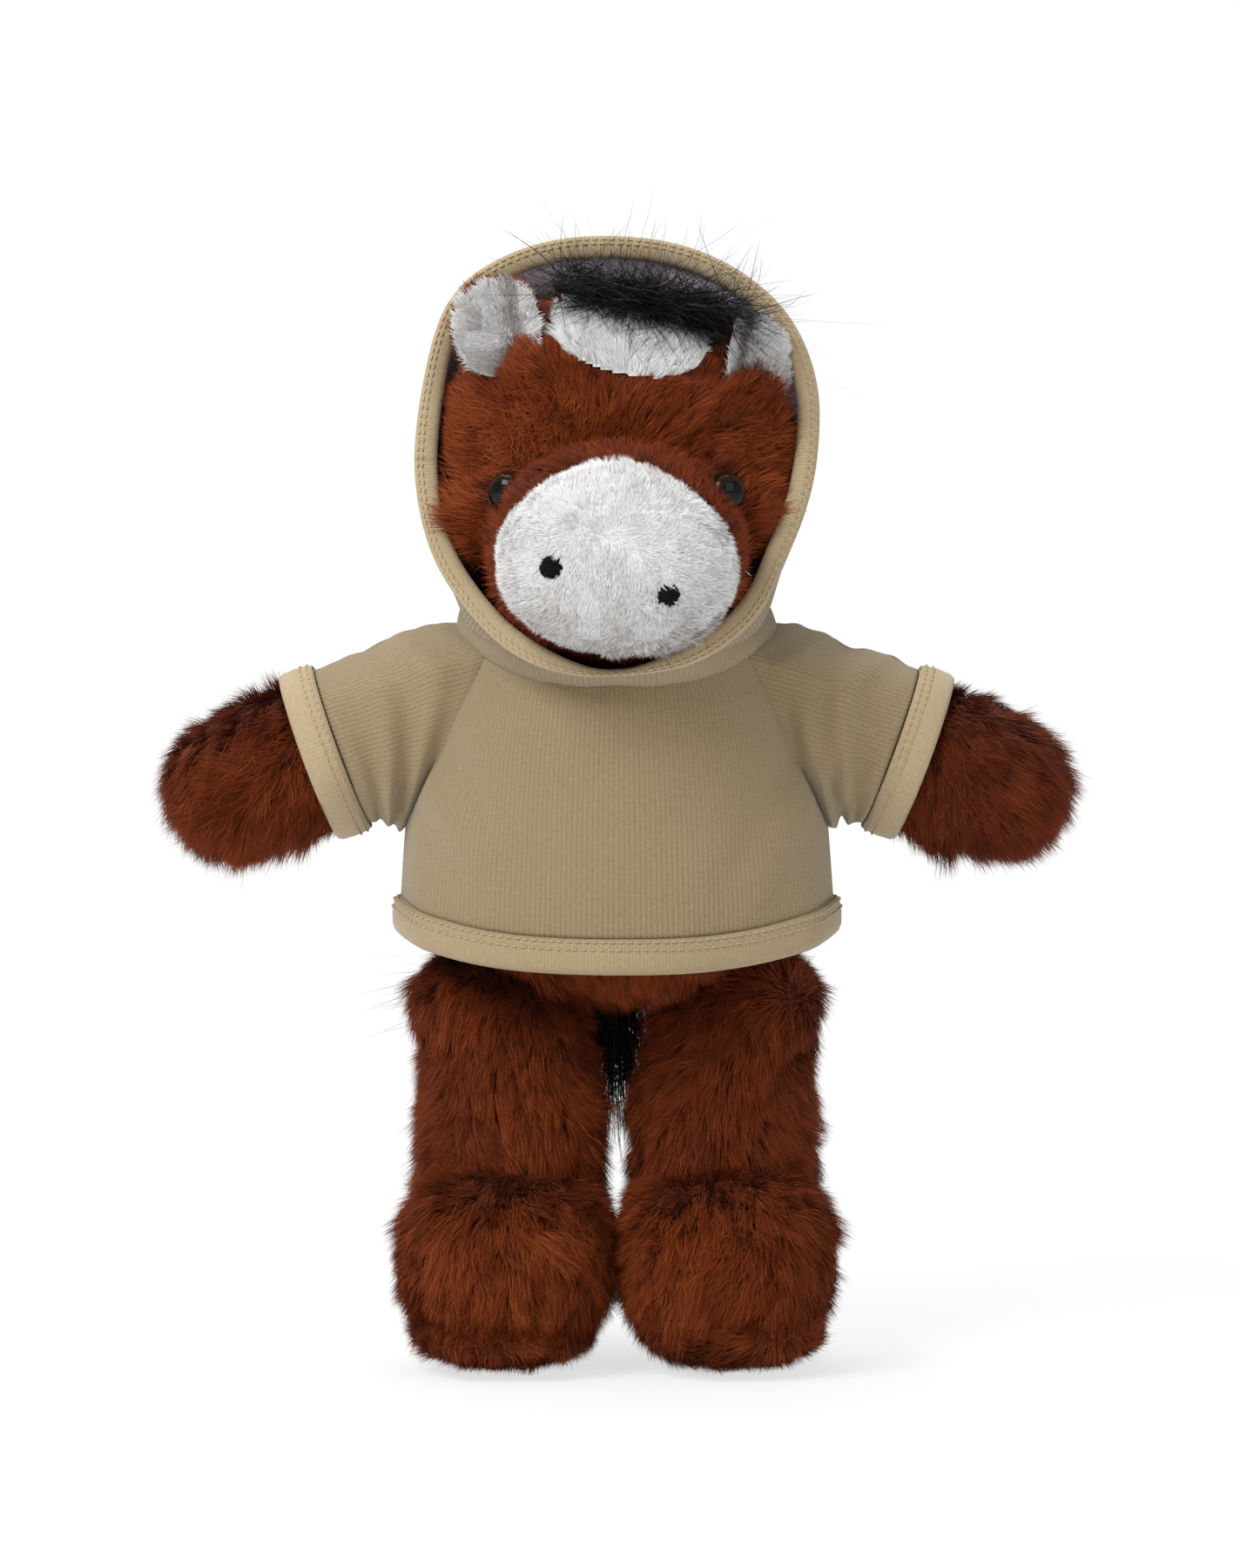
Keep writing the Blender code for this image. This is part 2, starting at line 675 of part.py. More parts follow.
def nostril(side, muzzle_shape):
    """A pad of thread embroidered on the muzzle."""
    across = SIDES[side] * NOSTRIL_SPREAD
    drop = -NOSTRIL_DROP - across * math.tan(NOSTRIL_TILT)
    power = MUZZLE_BLUNTNESS
    share = 1 - abs(across / MUZZLE_HALF_WIDTH) ** power - abs(drop / MUZZLE_HALF_HEIGHT) ** power
    out = SNOUT_REACH - MUZZLE_SEAM_REACH - MUZZLE_BULGE * share ** (1 / power)
    half = (NOSTRIL_RADIUS, NOSTRIL_RISE, NOSTRIL_RADIUS)
    made = form(f"nostril_{side}", blob(Vector(), half), 12, 8, "black_thread", axis="Y")
    lean = Matrix.Rotation(-across / MUZZLE_HALF_WIDTH, 4, "Z")
    made.matrix_world = SNOUT_PLACE @ Matrix.Translation((across, out, drop)) @ lean
    cut(made, muzzle_shape)
    return made


def blaze_piece():
    """The white patch on the forehead, sewn over the skin."""
    made = head_form("blaze", -GAP - BLAZE_THICKNESS, "white_plush")
    cut(made, head_form("blaze_bed", -GAP))
    middle = HEAD_HEIGHT + BLAZE_RISE
    half = (BLAZE_HALF_WIDTH, HEAD_HALF_DEPTH, BLAZE_HALF_HEIGHT)
    place = Vector((0, -HEAD_HALF_DEPTH, middle))
    outline = form("blaze_outline", blob(place, half, BLAZE_BLUNTNESS), 16, 10)
    keep(made, outline)
    return made


def ear_pieces(side, head_bed):
    """An ear leaf of brown plush with its white lining in front."""
    place = Vector((SIDES[side] * EAR_SPREAD[side], -EAR_REACH[side], HEAD_HEIGHT + EAR_RISE[side]))
    turn = Matrix.Rotation(SIDES[side] * EAR_TURN[side], 4, "Z")
    turn = turn @ Matrix.Rotation(SIDES[side] * EAR_LEAN[side], 4, "Y")
    half = (EAR_HALF_WIDTH, EAR_HALF_THICKNESS, EAR_HALF_HEIGHT)
    ear = form(f"ear_{side}", blob(Vector(), half), 14, 10, "brown_plush")
    front = Vector((0, -EAR_HALF_THICKNESS, 0))
    inset = EAR_LINING_INSET
    lining_half = (EAR_HALF_WIDTH - inset, EAR_LINING_THICKNESS, EAR_HALF_HEIGHT - inset)
    lining = form(f"ear_lining_{side}", blob(front, lining_half), 12, 8, "white_plush")
    bed = form(f"ear_bed_{side}", blob(Vector(), half, inset=-GAP), 14, 10)
    lining_bed = form(f"ear_lining_bed_{side}", blob(front, lining_half, inset=-GAP), 12, 8)
    for piece in (ear, lining, bed, lining_bed):
        set_place(piece, place, turn)
    cut(ear, head_bed)
    cut(lining, bed, head_bed)
    return ear, lining, bed, lining_bed


def forelock_piece(head_bed, ears):
    """The tuft of long black hair on the crown."""
    centre = Vector((FORELOCK_OFFSET, -FORELOCK_REACH, HEAD_HEIGHT + FORELOCK_RISE))
    half = (FORELOCK_HALF_WIDTH, FORELOCK_HALF_DEPTH, FORELOCK_HALF_HEIGHT)
    made = form("forelock", blob(centre, half), 18, 10, "black_hair")
    cut(made, head_bed, *ears)
    blaze_room = head_form("blaze_room", -2 * GAP - BLAZE_THICKNESS)
    cut(made, blaze_room)
    return made


def arm_pieces(side):
    """An arm's skin, open at the shoulder, over its stuffing."""
    skin = arm_form(f"arm_skin_{side}", side, 0, "brown_plush")
    hollow = arm_form(f"arm_hollow_{side}", side, PLUSH, around=12, along=12)
    mouth_low = (-ARM_SHOULDER_RADIUS - OVERRUN,) * 3
    mouth = block(f"arm_mouth_{side}", mouth_low, (0, SHOULDER_HEIGHT, SHOULDER_HEIGHT))
    for vert in mouth.data.vertices:
        vert.co.y = math.copysign(SHOULDER_SPREAD, vert.co.y)
        vert.co.z = math.copysign(SHOULDER_SPREAD, vert.co.z)
    set_place(mouth, shoulder(side), arm_turn(side))
    cut(skin, hollow, mouth)
    stuffing = arm_form(f"arm_stuffing_{side}", side, PLUSH + GAP, "stuffing", around=12, along=12)
    return skin, stuffing


def leg_pieces(side):
    """A leg's skin over its stuffing, the foot sewn under it, and the foot's flat-cut sole."""
    skin = leg_form(f"leg_skin_{side}", side, 0, "brown_plush")
    stuffing = leg_form(f"leg_stuffing_{side}", side, PLUSH + GAP, "stuffing", around=12)
    hollow = leg_form(f"leg_hollow_{side}", side, PLUSH, around=12)
    foot_room = foot_form(f"foot_room_{side}", side, -GAP)
    cut(skin, hollow, foot_room)
    cut(stuffing, foot_room)
    foot = foot_form(f"foot_{side}", side, 0, "brown_plush")
    sole_room = sole_form(f"sole_room_{side}", side, -BALL_CLEARANCE)
    cut(foot, sole_room)
    sole = sole_form(f"sole_{side}", side, 0, "brown_plush")
    under = (-HOOD_BACK_DEPTH, -HOOD_BACK_DEPTH, -OVERRUN)
    floor = block(f"floor_{side}", under, (HOOD_BACK_DEPTH, HOOD_BACK_DEPTH, 0))
    cut(sole, floor)
    return skin, stuffing, foot, sole


def tail_piece():
    """The tail's tassel of long hair, hung from the back of the body."""
    place = limb(TAIL_LENGTH, (TAIL_HALF_DEPTH, TAIL_HALF_WIDTH, TAIL_HALF_DEPTH), (0, 0.6, 1))
    made = form("tail", place, 10, 10, "black_hair", axis="X")
    downwards = Matrix.Rotation(math.pi / 2, 4, "Y")
    set_place(made, TAIL_ROOT, Matrix.Rotation(TAIL_SLANT, 4, "X") @ downwards)
    return made


def shirt_form(name, inset, material=None):
    place = column(
        SHIRT_BASE,
        SHIRT_TOP,
        SHIRT_HALF_WIDTH,
        SHIRT_HALF_DEPTH,
        SHIRT_WIDTH_SHARES,
        SHIRT_DEPTH_SHARES,
        SHIRT_BLUNTNESS,
        inset,
    )
    return form(name, place, 20, 12, material)


def sleeve_form(name, side, inset, raised=0.0):
    radii = (SLEEVE_RADIUS,) * 2
    made = form(name, limb(SLEEVE_LENGTH, radii, (0, 1), inset), 16, 8, axis="X")
    set_place(made, shoulder(side), arm_turn(side, raised))
    return made


def neckline_prism(name):
    return oval_prism(name, NECKLINE_HALF_WIDTH, NECKLINE_HALF_DEPTH, NECKLINE_BASE, SHIRT_TOP + OVERRUN)


def raglan_block(name, side, beyond):
    """A block cutter on one side of the plane that holds a side's two raglan seams."""
    low = Vector((SIDES[side] * RAGLAN_PIT_SPREAD, 0, SHOULDER_HEIGHT - RAGLAN_PIT_DROP))
    high = Vector((SIDES[side] * RAGLAN_NECK_SPREAD, 0, SHOULDER_HEIGHT + RAGLAN_NECK_RISE))
    up = (high - low).normalized()
    out = Vector((SIDES[side] * up.z, 0, abs(up.x)))
    size = SHIRT_TOP
    if beyond:
        made = block(name, (GAP / 2, -size, -size), (size, size, size))
    else:
        made = block(name, (-size, -size, -size), (-GAP / 2, size, size))
    turn = Matrix((out, up.cross(out), up)).transposed().to_4x4()
    set_place(made, low, turn)
    return made


def hem_slab(name, low, high):
    """A slab cutter whose faces follow the hem's line, low in the middle, between two offsets from it."""
    shape = bmesh.new()
    bmesh.ops.create_grid(shape, x_segments=16, y_segments=1, size=1)
    moved = bmesh.ops.extrude_face_region(shape, geom=shape.faces[:])
    raised = {item for item in moved["geom"] if isinstance(item, bmesh.types.BMVert)}
    width = SHIRT_HALF_WIDTH + OVERRUN
    for vert in shape.verts:
        rise = HEM_SIDE_RISE * abs(vert.co.x) ** HEM_RISE_POWER
        height = HEM_CENTRE_HEIGHT + rise + (high if vert in raised else low)
        vert.co = Vector((vert.co.x * width, vert.co.y * width, height))
    bmesh.ops.recalc_face_normals(shape, faces=shape.faces)
    mesh = bpy.data.meshes.new(name)
    shape.to_mesh(mesh)
    shape.free()
    return new_object(name, mesh, smooth=False)


def cuff_block(name, side, start, end):
    """A block cutter across a sleeve between two places along the arm."""
    size = SHOULDER_SPREAD + OVERRUN
    made = block(name, (start, -size, -size), (end, size, size))
    set_place(made, shoulder(side), arm_turn(side))
    return made


def shirt_panels():
    """The shirt's front and back panels, between the raglan seams and above the hem."""
    size = SHIRT_TOP
    below = hem_slab("below_panels", -size / 2, HEM_WIDTH + GAP / 2)
    halves = {"shirt_front": ((-size, -size, 0), (size, -GAP / 2, size + OVERRUN))}
    halves["shirt_back"] = ((-size, GAP / 2, 0), (size, size, size + OVERRUN))
    made = []
    for name, (low, high) in halves.items():
        panel = shirt_form(name, 0, "tan_jersey")
        keep(panel, block(f"{name}_half", low, high))
        keep(panel, *[raglan_block(f"{name}_raglan_{side}", side, False) for side in SIDES])
        cut(panel, below, neckline_prism(f"{name}_neckline"))
        cut(panel, block(f"{name}_top", (-size, -size, NECKLINE_TOP), (size, size, size * 2)))
        cut(panel, shirt_form(f"{name}_hollow", CLOTH))
        for side in SIDES:
            cut(panel, sleeve_form(f"{name}_sleeve_hole_{side}", side, CLOTH))
            cut(panel, arm_form(f"{name}_armhole_{side}", side, -BALL_CLEARANCE, raised=-ARM_LOWERED))
        made.append(panel)
    return made


def hem_piece():
    """The folded band round the bottom of the shirt."""
    hem = shirt_form("shirt_hem", -FOLD_EXTRA, "tan_jersey")
    cut(hem, shirt_form("hem_hollow", CLOTH))
    keep(hem, hem_slab("hem_band", 0, HEM_WIDTH - GAP / 2))
    return hem


def sleeve_piece(side):
    """A raglan sleeve, from the neckline and the raglan seams to the cuff's seam."""
    sleeve = shirt_form(f"sleeve_{side}", 0, "tan_jersey")
    join(sleeve, sleeve_form(f"sleeve_outside_{side}", side, 0))
    hollow = shirt_form(f"sleeve_hollow_{side}", CLOTH)
    join(hollow, sleeve_form(f"sleeve_inside_{side}", side, CLOTH))
    cut(sleeve, hollow, neckline_prism(f"sleeve_neckline_{side}"))
    keep(sleeve, raglan_block(f"sleeve_raglan_{side}", side, True))
    cut(sleeve, cuff_block(f"sleeve_end_{side}", side, CUFF_START - GAP / 2, SLEEVE_LENGTH * 2))
    return sleeve


def cuff_piece(side):
    """The folded band at the end of a sleeve, which goes where the arm goes."""
    radii = (SLEEVE_RADIUS + FOLD_EXTRA,) * 2
    cuff = form(f"sleeve_cuff_{side}", limb(SLEEVE_LENGTH, radii, (0, 1)), 16, 8, "tan_jersey", axis="X")
    set_place(cuff, shoulder(side), arm_turn(side))
    end = CUFF_START + CUFF_WIDTH
    keep(cuff, cuff_block(f"cuff_band_{side}", side, CUFF_START + GAP / 2, end))
    cut(cuff, arm_form(f"cuff_hollow_{side}", side, -CUFF_CLEARANCE))
    return cuff


def hood_place(inset, forward=0.0):
    """Places the back half of a unit sphere on the hood, whose rim is a squared oval about the face."""

    def place(point):
        ring = math.hypot(point.x, point.z)
        if ring < GAP:
            squared = Vector((0, 0))
        else:
            squared = blunted(Vector((point.x / ring, point.z / ring)), HOOD_SQUARENESS)
        turn = math.asin(max(0, min(1, point.y)))
        close = math.cos(turn) ** (2 / HOOD_BACK_BLUNTNESS)
        deep = math.sin(turn) ** (2 / HOOD_BACK_BLUNTNESS)
        in_front = point.y < -GAP
        if in_front:
            close = ring
        rise = (HOOD_HALF_HEIGHT - inset) * squared[1] * close
        across = (HOOD_HALF_WIDTH - inset) * squared[0] * close
        lean = HOOD_RIM_LEAN_SHARE * rise * (1 - deep)
        reach = -HOOD_RIM_REACH + lean + (HOOD_BACK_DEPTH - inset) * deep
        if in_front:
            reach -= forward
        return Vector((across, reach, HOOD_CENTRE_HEIGHT - HOOD_BACK_DROP * deep + rise))

    return place


def hood_shell(name, side, inset, thickness, material):
    """Half of a hood's cloth, or all of it with no side: the outer form less the inner one."""
    shell = form(name, hood_place(inset), 18, 12, material, axis="Y")
    hollow = form(f"{name}_hollow", hood_place(inset + thickness, OVERRUN), 18, 12, axis="Y")
    cut(shell, hollow)
    size = SHIRT_TOP * 2
    if side:
        low = Vector((GAP / 2, -size, 0))
        high = Vector((size, size, size))
        if SIDES[side] < 0:
            low.x, high.x = -high.x, -low.x
        keep(shell, block(f"{name}_side", low, high))
    cut(shell, collar_block(f"{name}_base", -size, COLLAR_HIGH + GAP / 2))
    return shell


def collar_block(name, low, high, slope=COLLAR_SLOPE_SHARE):
    """A block cutter between two heights at the neck's middle, with a slope from front to back."""
    size = HOOD_BACK_DEPTH
    made = block(name, (-size, -size, low), (size, size, high))
    for vert in made.data.vertices:
        vert.co.z += slope * vert.co.y
    return made


def collar_piece():
    """The strip of cloth between the neckline's seam and the hood."""
    across = NECKLINE_HALF_WIDTH - GAP
    deep = NECKLINE_HALF_DEPTH - GAP
    top = SHIRT_TOP + OVERRUN
    made = oval_prism("hood_collar", across, deep, NECKLINE_BASE, top, "tan_jersey")
    inner = oval_prism("collar_hollow", across - CLOTH, deep - CLOTH, NECKLINE_BASE - OVERRUN, top + OVERRUN)
    cut(made, inner)
    below = collar_block("below_collar", 0, COLLAR_LOW)
    keep(below, collar_block("below_collar_behind", 0, COLLAR_LOW, -COLLAR_SLOPE_SHARE))
    above = collar_block("above_collar", COLLAR_HIGH - GAP / 2, SHIRT_TOP * 2)
    cut(made, below, above, head_form("collar_head_room", -ROOM_CLEARANCE))
    cut(made, snout_form("collar_snout_room", -ROOM_CLEARANCE))
    return made


def rim_piece():
    """The folded casing round the hood's opening."""
    bpy.ops.mesh.primitive_torus_add(
        major_segments=28, minor_segments=6, major_radius=1, minor_radius=RIM_RING_SHARE, location=(0, 0, 0)
    )
    rim = bpy.context.object
    for owner in list(rim.users_collection):
        owner.objects.unlink(rim)
    PARTS.objects.link(rim)
    rim.name = "hood_rim"
    rim.data.materials.append(MATERIALS["tan_jersey"])
    for vert in rim.data.vertices:
        angle = math.atan2(vert.co.y, vert.co.x)
        around = math.hypot(vert.co.x, vert.co.y) - 1
        squared = blunted(Vector((math.cos(angle), math.sin(angle))), HOOD_SQUARENESS)
        chin = max(0, -math.sin(angle)) ** RIM_CHIN_POWER
        width = RIM_HALF_WIDTH * (1 - RIM_CHIN_SHARE * chin)
        out = around / RIM_RING_SHARE * width
        across = (HOOD_HALF_WIDTH - RIM_HALF_WIDTH) * squared[0]
        rise = (HOOD_HALF_HEIGHT - RIM_HALF_WIDTH) * squared[1]
        reach = -HOOD_RIM_REACH + HOOD_RIM_LEAN_SHARE * rise - RIM_CHIN_REACH * chin - RIM_HALF_DEPTH - GAP
        outward = Vector((squared[0], 0, squared[1])).normalized()
        flat = Vector((across, reach, HOOD_CENTRE_HEIGHT + rise))
        vert.co = flat + outward * out + Vector((0, vert.co.z / RIM_RING_SHARE * RIM_HALF_DEPTH, 0))
    shape = bmesh.new()
    shape.from_mesh(rim.data)
    face_outwards(shape)
    shape.to_mesh(rim.data)
    shape.free()
    rim.data.shade_smooth()
    return rim


def build():
    neck, body_skin, body_stuffing = neck_and_body()
    head_skin, head_stuffing, muzzle = head_pieces()
    neck_joint = joint_empty("neck_joint", NECK)
    head_joint = joint_empty("head_joint", NECK)
    attach(neck_joint, neck)
    head = [head_skin, head_stuffing, muzzle]
    muzzle_bed = muzzle_form("nostril_bed", -GAP)
    head_bed = head_form("head_bed", -GAP)
    for side in SIDES:
        head += eye_pieces(side, head_skin, head_stuffing)
        head.append(nostril(side, muzzle_bed))
    ears = [ear_pieces(side, head_bed) for side in SIDES]
    blaze = blaze_piece()
    ear_beds = [bed for _, _, *beds in ears for bed in beds]
    cut(blaze, *ear_beds)
    forelock = forelock_piece(head_bed, ear_beds)
    head += [blaze, forelock]
    for ear, lining, *_ in ears:
        head += [ear, lining]
    for side in SIDES:
        head.append(hood_shell(f"hood_panel_{side}", side, 0, CLOTH, "tan_jersey"))
    head.append(hood_shell("hood_lining", None, CLOTH + GAP, LINING_THICKNESS, "grey_fleece"))
    head.append(rim_piece())
    attach(head_joint, *head)
    for side in SIDES:
        arm_joint = joint_empty(f"arm_joint_{side}", shoulder(side))
        leg_joint = joint_empty(f"leg_joint_{side}", hip(side))
        attach(arm_joint, *arm_pieces(side), cuff_piece(side))
        attach(leg_joint, *leg_pieces(side))
        sleeve_piece(side)
    tail_joint = joint_empty("tail_joint", TAIL_ROOT)
    attach(tail_joint, tail_piece())
    shirt_panels()
    hem_piece()
    collar_piece()
    centre_on_origin()


def centre_on_origin():
    """Moves everything back so that the origin is halfway between the muzzle's front and the hood's back."""
    for made in bpy.data.objects:
        if not made.parent:
            made.location.y += CENTRE_SHIFT


build()
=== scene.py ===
"""The visual model of a stuffed toy horse in a hooded knit shirt, with its light and camera.

Metres, in the row frame. The toy faces -Y and its own left side is +X.
"""

import math

import bmesh
import bpy
import numpy as np
from mathutils import Matrix, Vector


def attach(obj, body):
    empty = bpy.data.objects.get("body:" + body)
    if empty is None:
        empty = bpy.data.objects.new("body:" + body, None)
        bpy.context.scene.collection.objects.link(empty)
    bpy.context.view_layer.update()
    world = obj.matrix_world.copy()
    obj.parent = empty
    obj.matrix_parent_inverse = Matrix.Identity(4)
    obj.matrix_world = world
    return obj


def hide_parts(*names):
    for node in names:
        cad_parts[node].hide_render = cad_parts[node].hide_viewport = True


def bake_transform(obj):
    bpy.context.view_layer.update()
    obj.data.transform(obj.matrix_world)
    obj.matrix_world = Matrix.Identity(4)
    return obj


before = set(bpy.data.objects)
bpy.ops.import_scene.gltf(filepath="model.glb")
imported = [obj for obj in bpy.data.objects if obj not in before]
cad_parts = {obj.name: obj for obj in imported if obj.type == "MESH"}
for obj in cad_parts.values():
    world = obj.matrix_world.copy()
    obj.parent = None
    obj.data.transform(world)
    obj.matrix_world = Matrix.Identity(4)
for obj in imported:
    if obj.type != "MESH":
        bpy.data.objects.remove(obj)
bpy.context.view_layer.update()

# Places and sizes that the CAD model shares
MIDDLE = 0.0128
SIDES = {"right": -1, "left": 1}
NECK = np.array((0, MIDDLE, 0.1925))
HEAD = np.array((0, MIDDLE, 0.2425))
HEAD_HALF = np.array((0.048, 0.046, 0.0478))
HEAD_POWER = 2.15
SNOUT = np.array((0, MIDDLE - 0.034, 0.2200))
SNOUT_HALF = np.array((0.0352, 0.046, 0.0295))
SNOUT_TILT = math.radians(11)
SEAM = -0.0245
SHOULDER = 0.038
SHOULDER_HEIGHT = 0.178
ARM_DROOP = math.radians(20)
ARM_LENGTH = 0.089
ARM_RADII, ARM_SHARES = (0.0165, 0.0202, 0.0238, 0.0215), (0, 0.55, 0.85, 1)
HIP = 0.0303
HIP_HEIGHT = 0.088
LEG_LENGTH = 0.072
LEG_RADII, LEG_SHARES = (0.0240, 0.0248, 0.0242), (0, 0.5, 1)
FOOT = 0.0302
FOOT_HALF = (0.0294, 0.0350, 0.0270)
SOLE_HALF = (0.0262, 0.033, 0.0120)
FOOT_POWER = 2.5
BODY_HALF = (0.0515, 0.0405)
BODY_BOTTOM, BODY_HEIGHT = 0.094, 0.096
BODY_POWER = 2.8
NECK_RADIUS = 0.0215
TAIL_ROOT = np.array((0, MIDDLE + 0.033, 0.105))


# Meshes
def turned(angle, axis="Y"):
    return np.array(Matrix.Rotation(angle, 3, axis))


def ball(around, along):
    """A unit sphere's points and triangles."""
    turn = np.linspace(0, np.pi, along + 1)[1:-1]
    t, s = np.meshgrid(turn, round_turns(around), indexing="ij")
    ring = np.stack([np.sin(t) * np.cos(s), np.sin(t) * np.sin(s), np.cos(t)], -1).reshape(-1, 3)
    points = np.vstack([ring, [[0, 0, 1], [0, 0, -1]]])
    index = np.arange(len(ring)).reshape(along - 1, around)
    beside = np.roll(index, -1, axis=1)
    a, b, d, c = index[:-1].ravel(), beside[:-1].ravel(), index[1:].ravel(), beside[1:].ravel()
    top, bottom = len(ring), len(ring) + 1
    caps = [[top, i, j] for i, j in zip(index[0], beside[0])]
    caps += [[bottom, j, i] for i, j in zip(index[-1], beside[-1])]
    return points, np.vstack([np.stack([a, d, b], 1), np.stack([b, d, c], 1), caps])


def round_turns(around):
    return np.arange(around) / around * 2 * np.pi


def normals_of(points, tris):
    a, b, c = points[tris[:, 0]], points[tris[:, 1]], points[tris[:, 2]]
    face = np.cross(b - a, c - a)
    total = np.zeros_like(points)
    for corner in range(3):
        np.add.at(total, tris[:, corner], face)
    return unit(total)


def clamp(values):
    return np.clip(values, 0, 1)


def unit(vectors):
    return vectors / np.maximum(np.linalg.norm(vectors, axis=-1, keepdims=True), 1e-12)


def blob(centre, half, power=2.0, around=72, along=48, turn=None):
    """An ellipsoid's points and triangles, blunter with a higher power, turned about its centre."""
    points, tris = ball(around, along)
    reach = (np.abs(points) ** power).sum(1, keepdims=True) ** (1 / power)
    points = points / reach * np.asarray(half)
    if turn is not None:
        points = points @ np.asarray(turn).T
    return points + np.asarray(centre), tris


def limb(length, radii, shares, around=64, along=80):
    """A limb's points and triangles along +X: a ball about the joint, its swell, and a round end."""
    points, tris = ball(around, along)
    points = points[:, [2, 0, 1]]
    turn = np.arccos(np.clip(points[:, 0], -1, 1)) / np.pi
    reach = length - radii[-1]
    share = clamp((0.75 - turn) * 2)
    radius = np.interp(share, shares, radii)
    along_axis = reach * share
    low, high = turn > 0.75, turn < 0.25
    angle = (1 - turn[low]) * 2 * np.pi
    along_axis[low], radius[low] = -radii[0] * np.cos(angle), radii[0] * np.sin(angle)
    angle = turn[high] * 2 * np.pi
    along_axis[high], radius[high] = reach + radii[-1] * np.cos(angle), radii[-1] * np.sin(angle)
    return np.column_stack([along_axis, unit(points[:, 1:]) * radius[:, None]]), tris


def place_limb(shape, root, turn):
    return shape[0] @ turn.T + root, shape[1]


def soft_noise(points, scale, seed):
    """A smooth random vector at each point, of about unit length, that changes over a scale."""
    rng = np.random.default_rng(seed)
    total = np.zeros((len(points), 3))
    for _ in range(6):
        waves = rng.normal(size=(3, 3)) / scale
        total += np.sin(points @ waves + rng.random(3) * 2 * np.pi)
    return total / 3.0


def inset(shape, depth):
    """A form drawn in along its normals by a depth, or by one depth at each point."""
    points, tris = shape
    return points - normals_of(points, tris) * np.broadcast_to(depth, len(points))[:, None], tris


def roughened(shape, scale, seed, height):
    return shape[0] + soft_noise(shape[0], scale, seed) * height, shape[1]


def grid_faces(rows, columns, closed=True):
    """The quads of a grid of points, joined round each row where it is closed."""
    faces = []
    for row in range(rows - 1):
        for k in range(columns if closed else columns - 1):
            a, b = row * columns + k, row * columns + (k + 1) % columns
            faces.append([a, b, b + columns, a + columns])
    return faces


def make_mesh(name, points, faces, coords, materials, face_materials=None, layer="OFBake"):
    """A mesh from arrays. Faces are triangles, or polygons as a list; coords has one (u, v) for each point."""
    mesh = bpy.data.meshes.new(name)
    points = np.asarray(points, np.float32)
    if isinstance(faces, np.ndarray):
        mesh.vertices.add(len(points))
        mesh.vertices.foreach_set("co", points.ravel())
        mesh.loops.add(faces.size)
        mesh.loops.foreach_set("vertex_index", faces.astype(np.int32).ravel())
        mesh.polygons.add(len(faces))
        mesh.polygons.foreach_set("loop_start", np.arange(0, faces.size, 3, dtype=np.int32))
        mesh.update(calc_edges=True)
    else:
        mesh.from_pydata(points.tolist(), [], [list(face) for face in faces])
    if coords is not None:
        corners = np.zeros(len(mesh.loops), np.int32)
        mesh.loops.foreach_get("vertex_index", corners)
        flat = np.asarray(coords, np.float32)[corners].ravel()
        mesh.uv_layers.new(name=layer).data.foreach_set("uv", flat)
    for material in materials:
        mesh.materials.append(material)
    if face_materials is not None:
        mesh.polygons.foreach_set("material_index", np.asarray(face_materials, np.int32))
    mesh.shade_smooth()
    return mesh


def in_scene(name, data):
    made = bpy.data.objects.new(name, data)
    bpy.context.scene.collection.objects.link(made)
    return made


def finish_piece(piece, body, slot, *nodes):
    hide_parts(*nodes)
    if body:
        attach(piece, body)
    return piece


# Materials
def add_node(tree, kind, values=(), **properties):
    """A shader node with its properties, and with inputs that take values or other nodes' outputs."""
    node = tree.nodes.new(f"ShaderNode{kind}")
    for name, value in properties.items():
        setattr(node, name, value)
    for place, value in dict(values).items():
        if isinstance(value, bpy.types.NodeSocket):
            tree.links.new(value, node.inputs[place])
        else:
            node.inputs[place].default_value = value
    return node


def calc(tree, kind, *values):
    return add_node(tree, "Math", enumerate(values), operation=kind).outputs[0]


def new_material(name, colour, roughness, sheen=0.0, gloss=0.5):
    made = bpy.data.materials.new(name)
    made.use_nodes = True
    shader = made.node_tree.nodes["Principled BSDF"]
    values = {"Base Color": (*colour, 1), "Roughness": roughness, "Sheen Weight": sheen, "Specular IOR Level": gloss}
    for socket, value in values.items():
        shader.inputs[socket].default_value = value
    return made, made.node_tree, shader


def ramp(tree, source, stops):
    node = add_node(tree, "ValToRGB", {"Fac": source})
    while len(node.color_ramp.elements) < len(stops):
        node.color_ramp.elements.new(0.5)
    for element, (place, colour) in zip(node.color_ramp.elements, stops):
        element.position = place
        element.color = (*colour, 1)
    return node.outputs["Color"]


def fur_material(name, tones, root, tip, roughness=0.6, sheen=0.25, gloss=0.35):
    """Fur whose colour goes by strand (u) and from root to tip (v), with painted shade darkening each strand toward
    its root.
    """
    made, tree, shader = new_material(name, tones[0][1], roughness, sheen, gloss)
    coords = add_node(tree, "UVMap", uv_map="OFBake")
    parts = add_node(tree, "SeparateXYZ", {"Vector": coords.outputs["UV"]})
    tone = ramp(tree, parts.outputs["X"], tones)
    # painted shade: each strand darkens toward its root, where the pile shades itself, and lightens toward its tip
    shade = ramp(tree, parts.outputs["Y"], [(0.0, (root,) * 3), (0.45, (0.8,) * 3), (1.0, (tip,) * 3)])
    mixed = add_node(tree, "Mix", {"Factor": 1, 6: tone, 7: shade}, data_type="RGBA", blend_type="MULTIPLY")
    tree.links.new(mixed.outputs[2], shader.inputs["Base Color"])
    return made
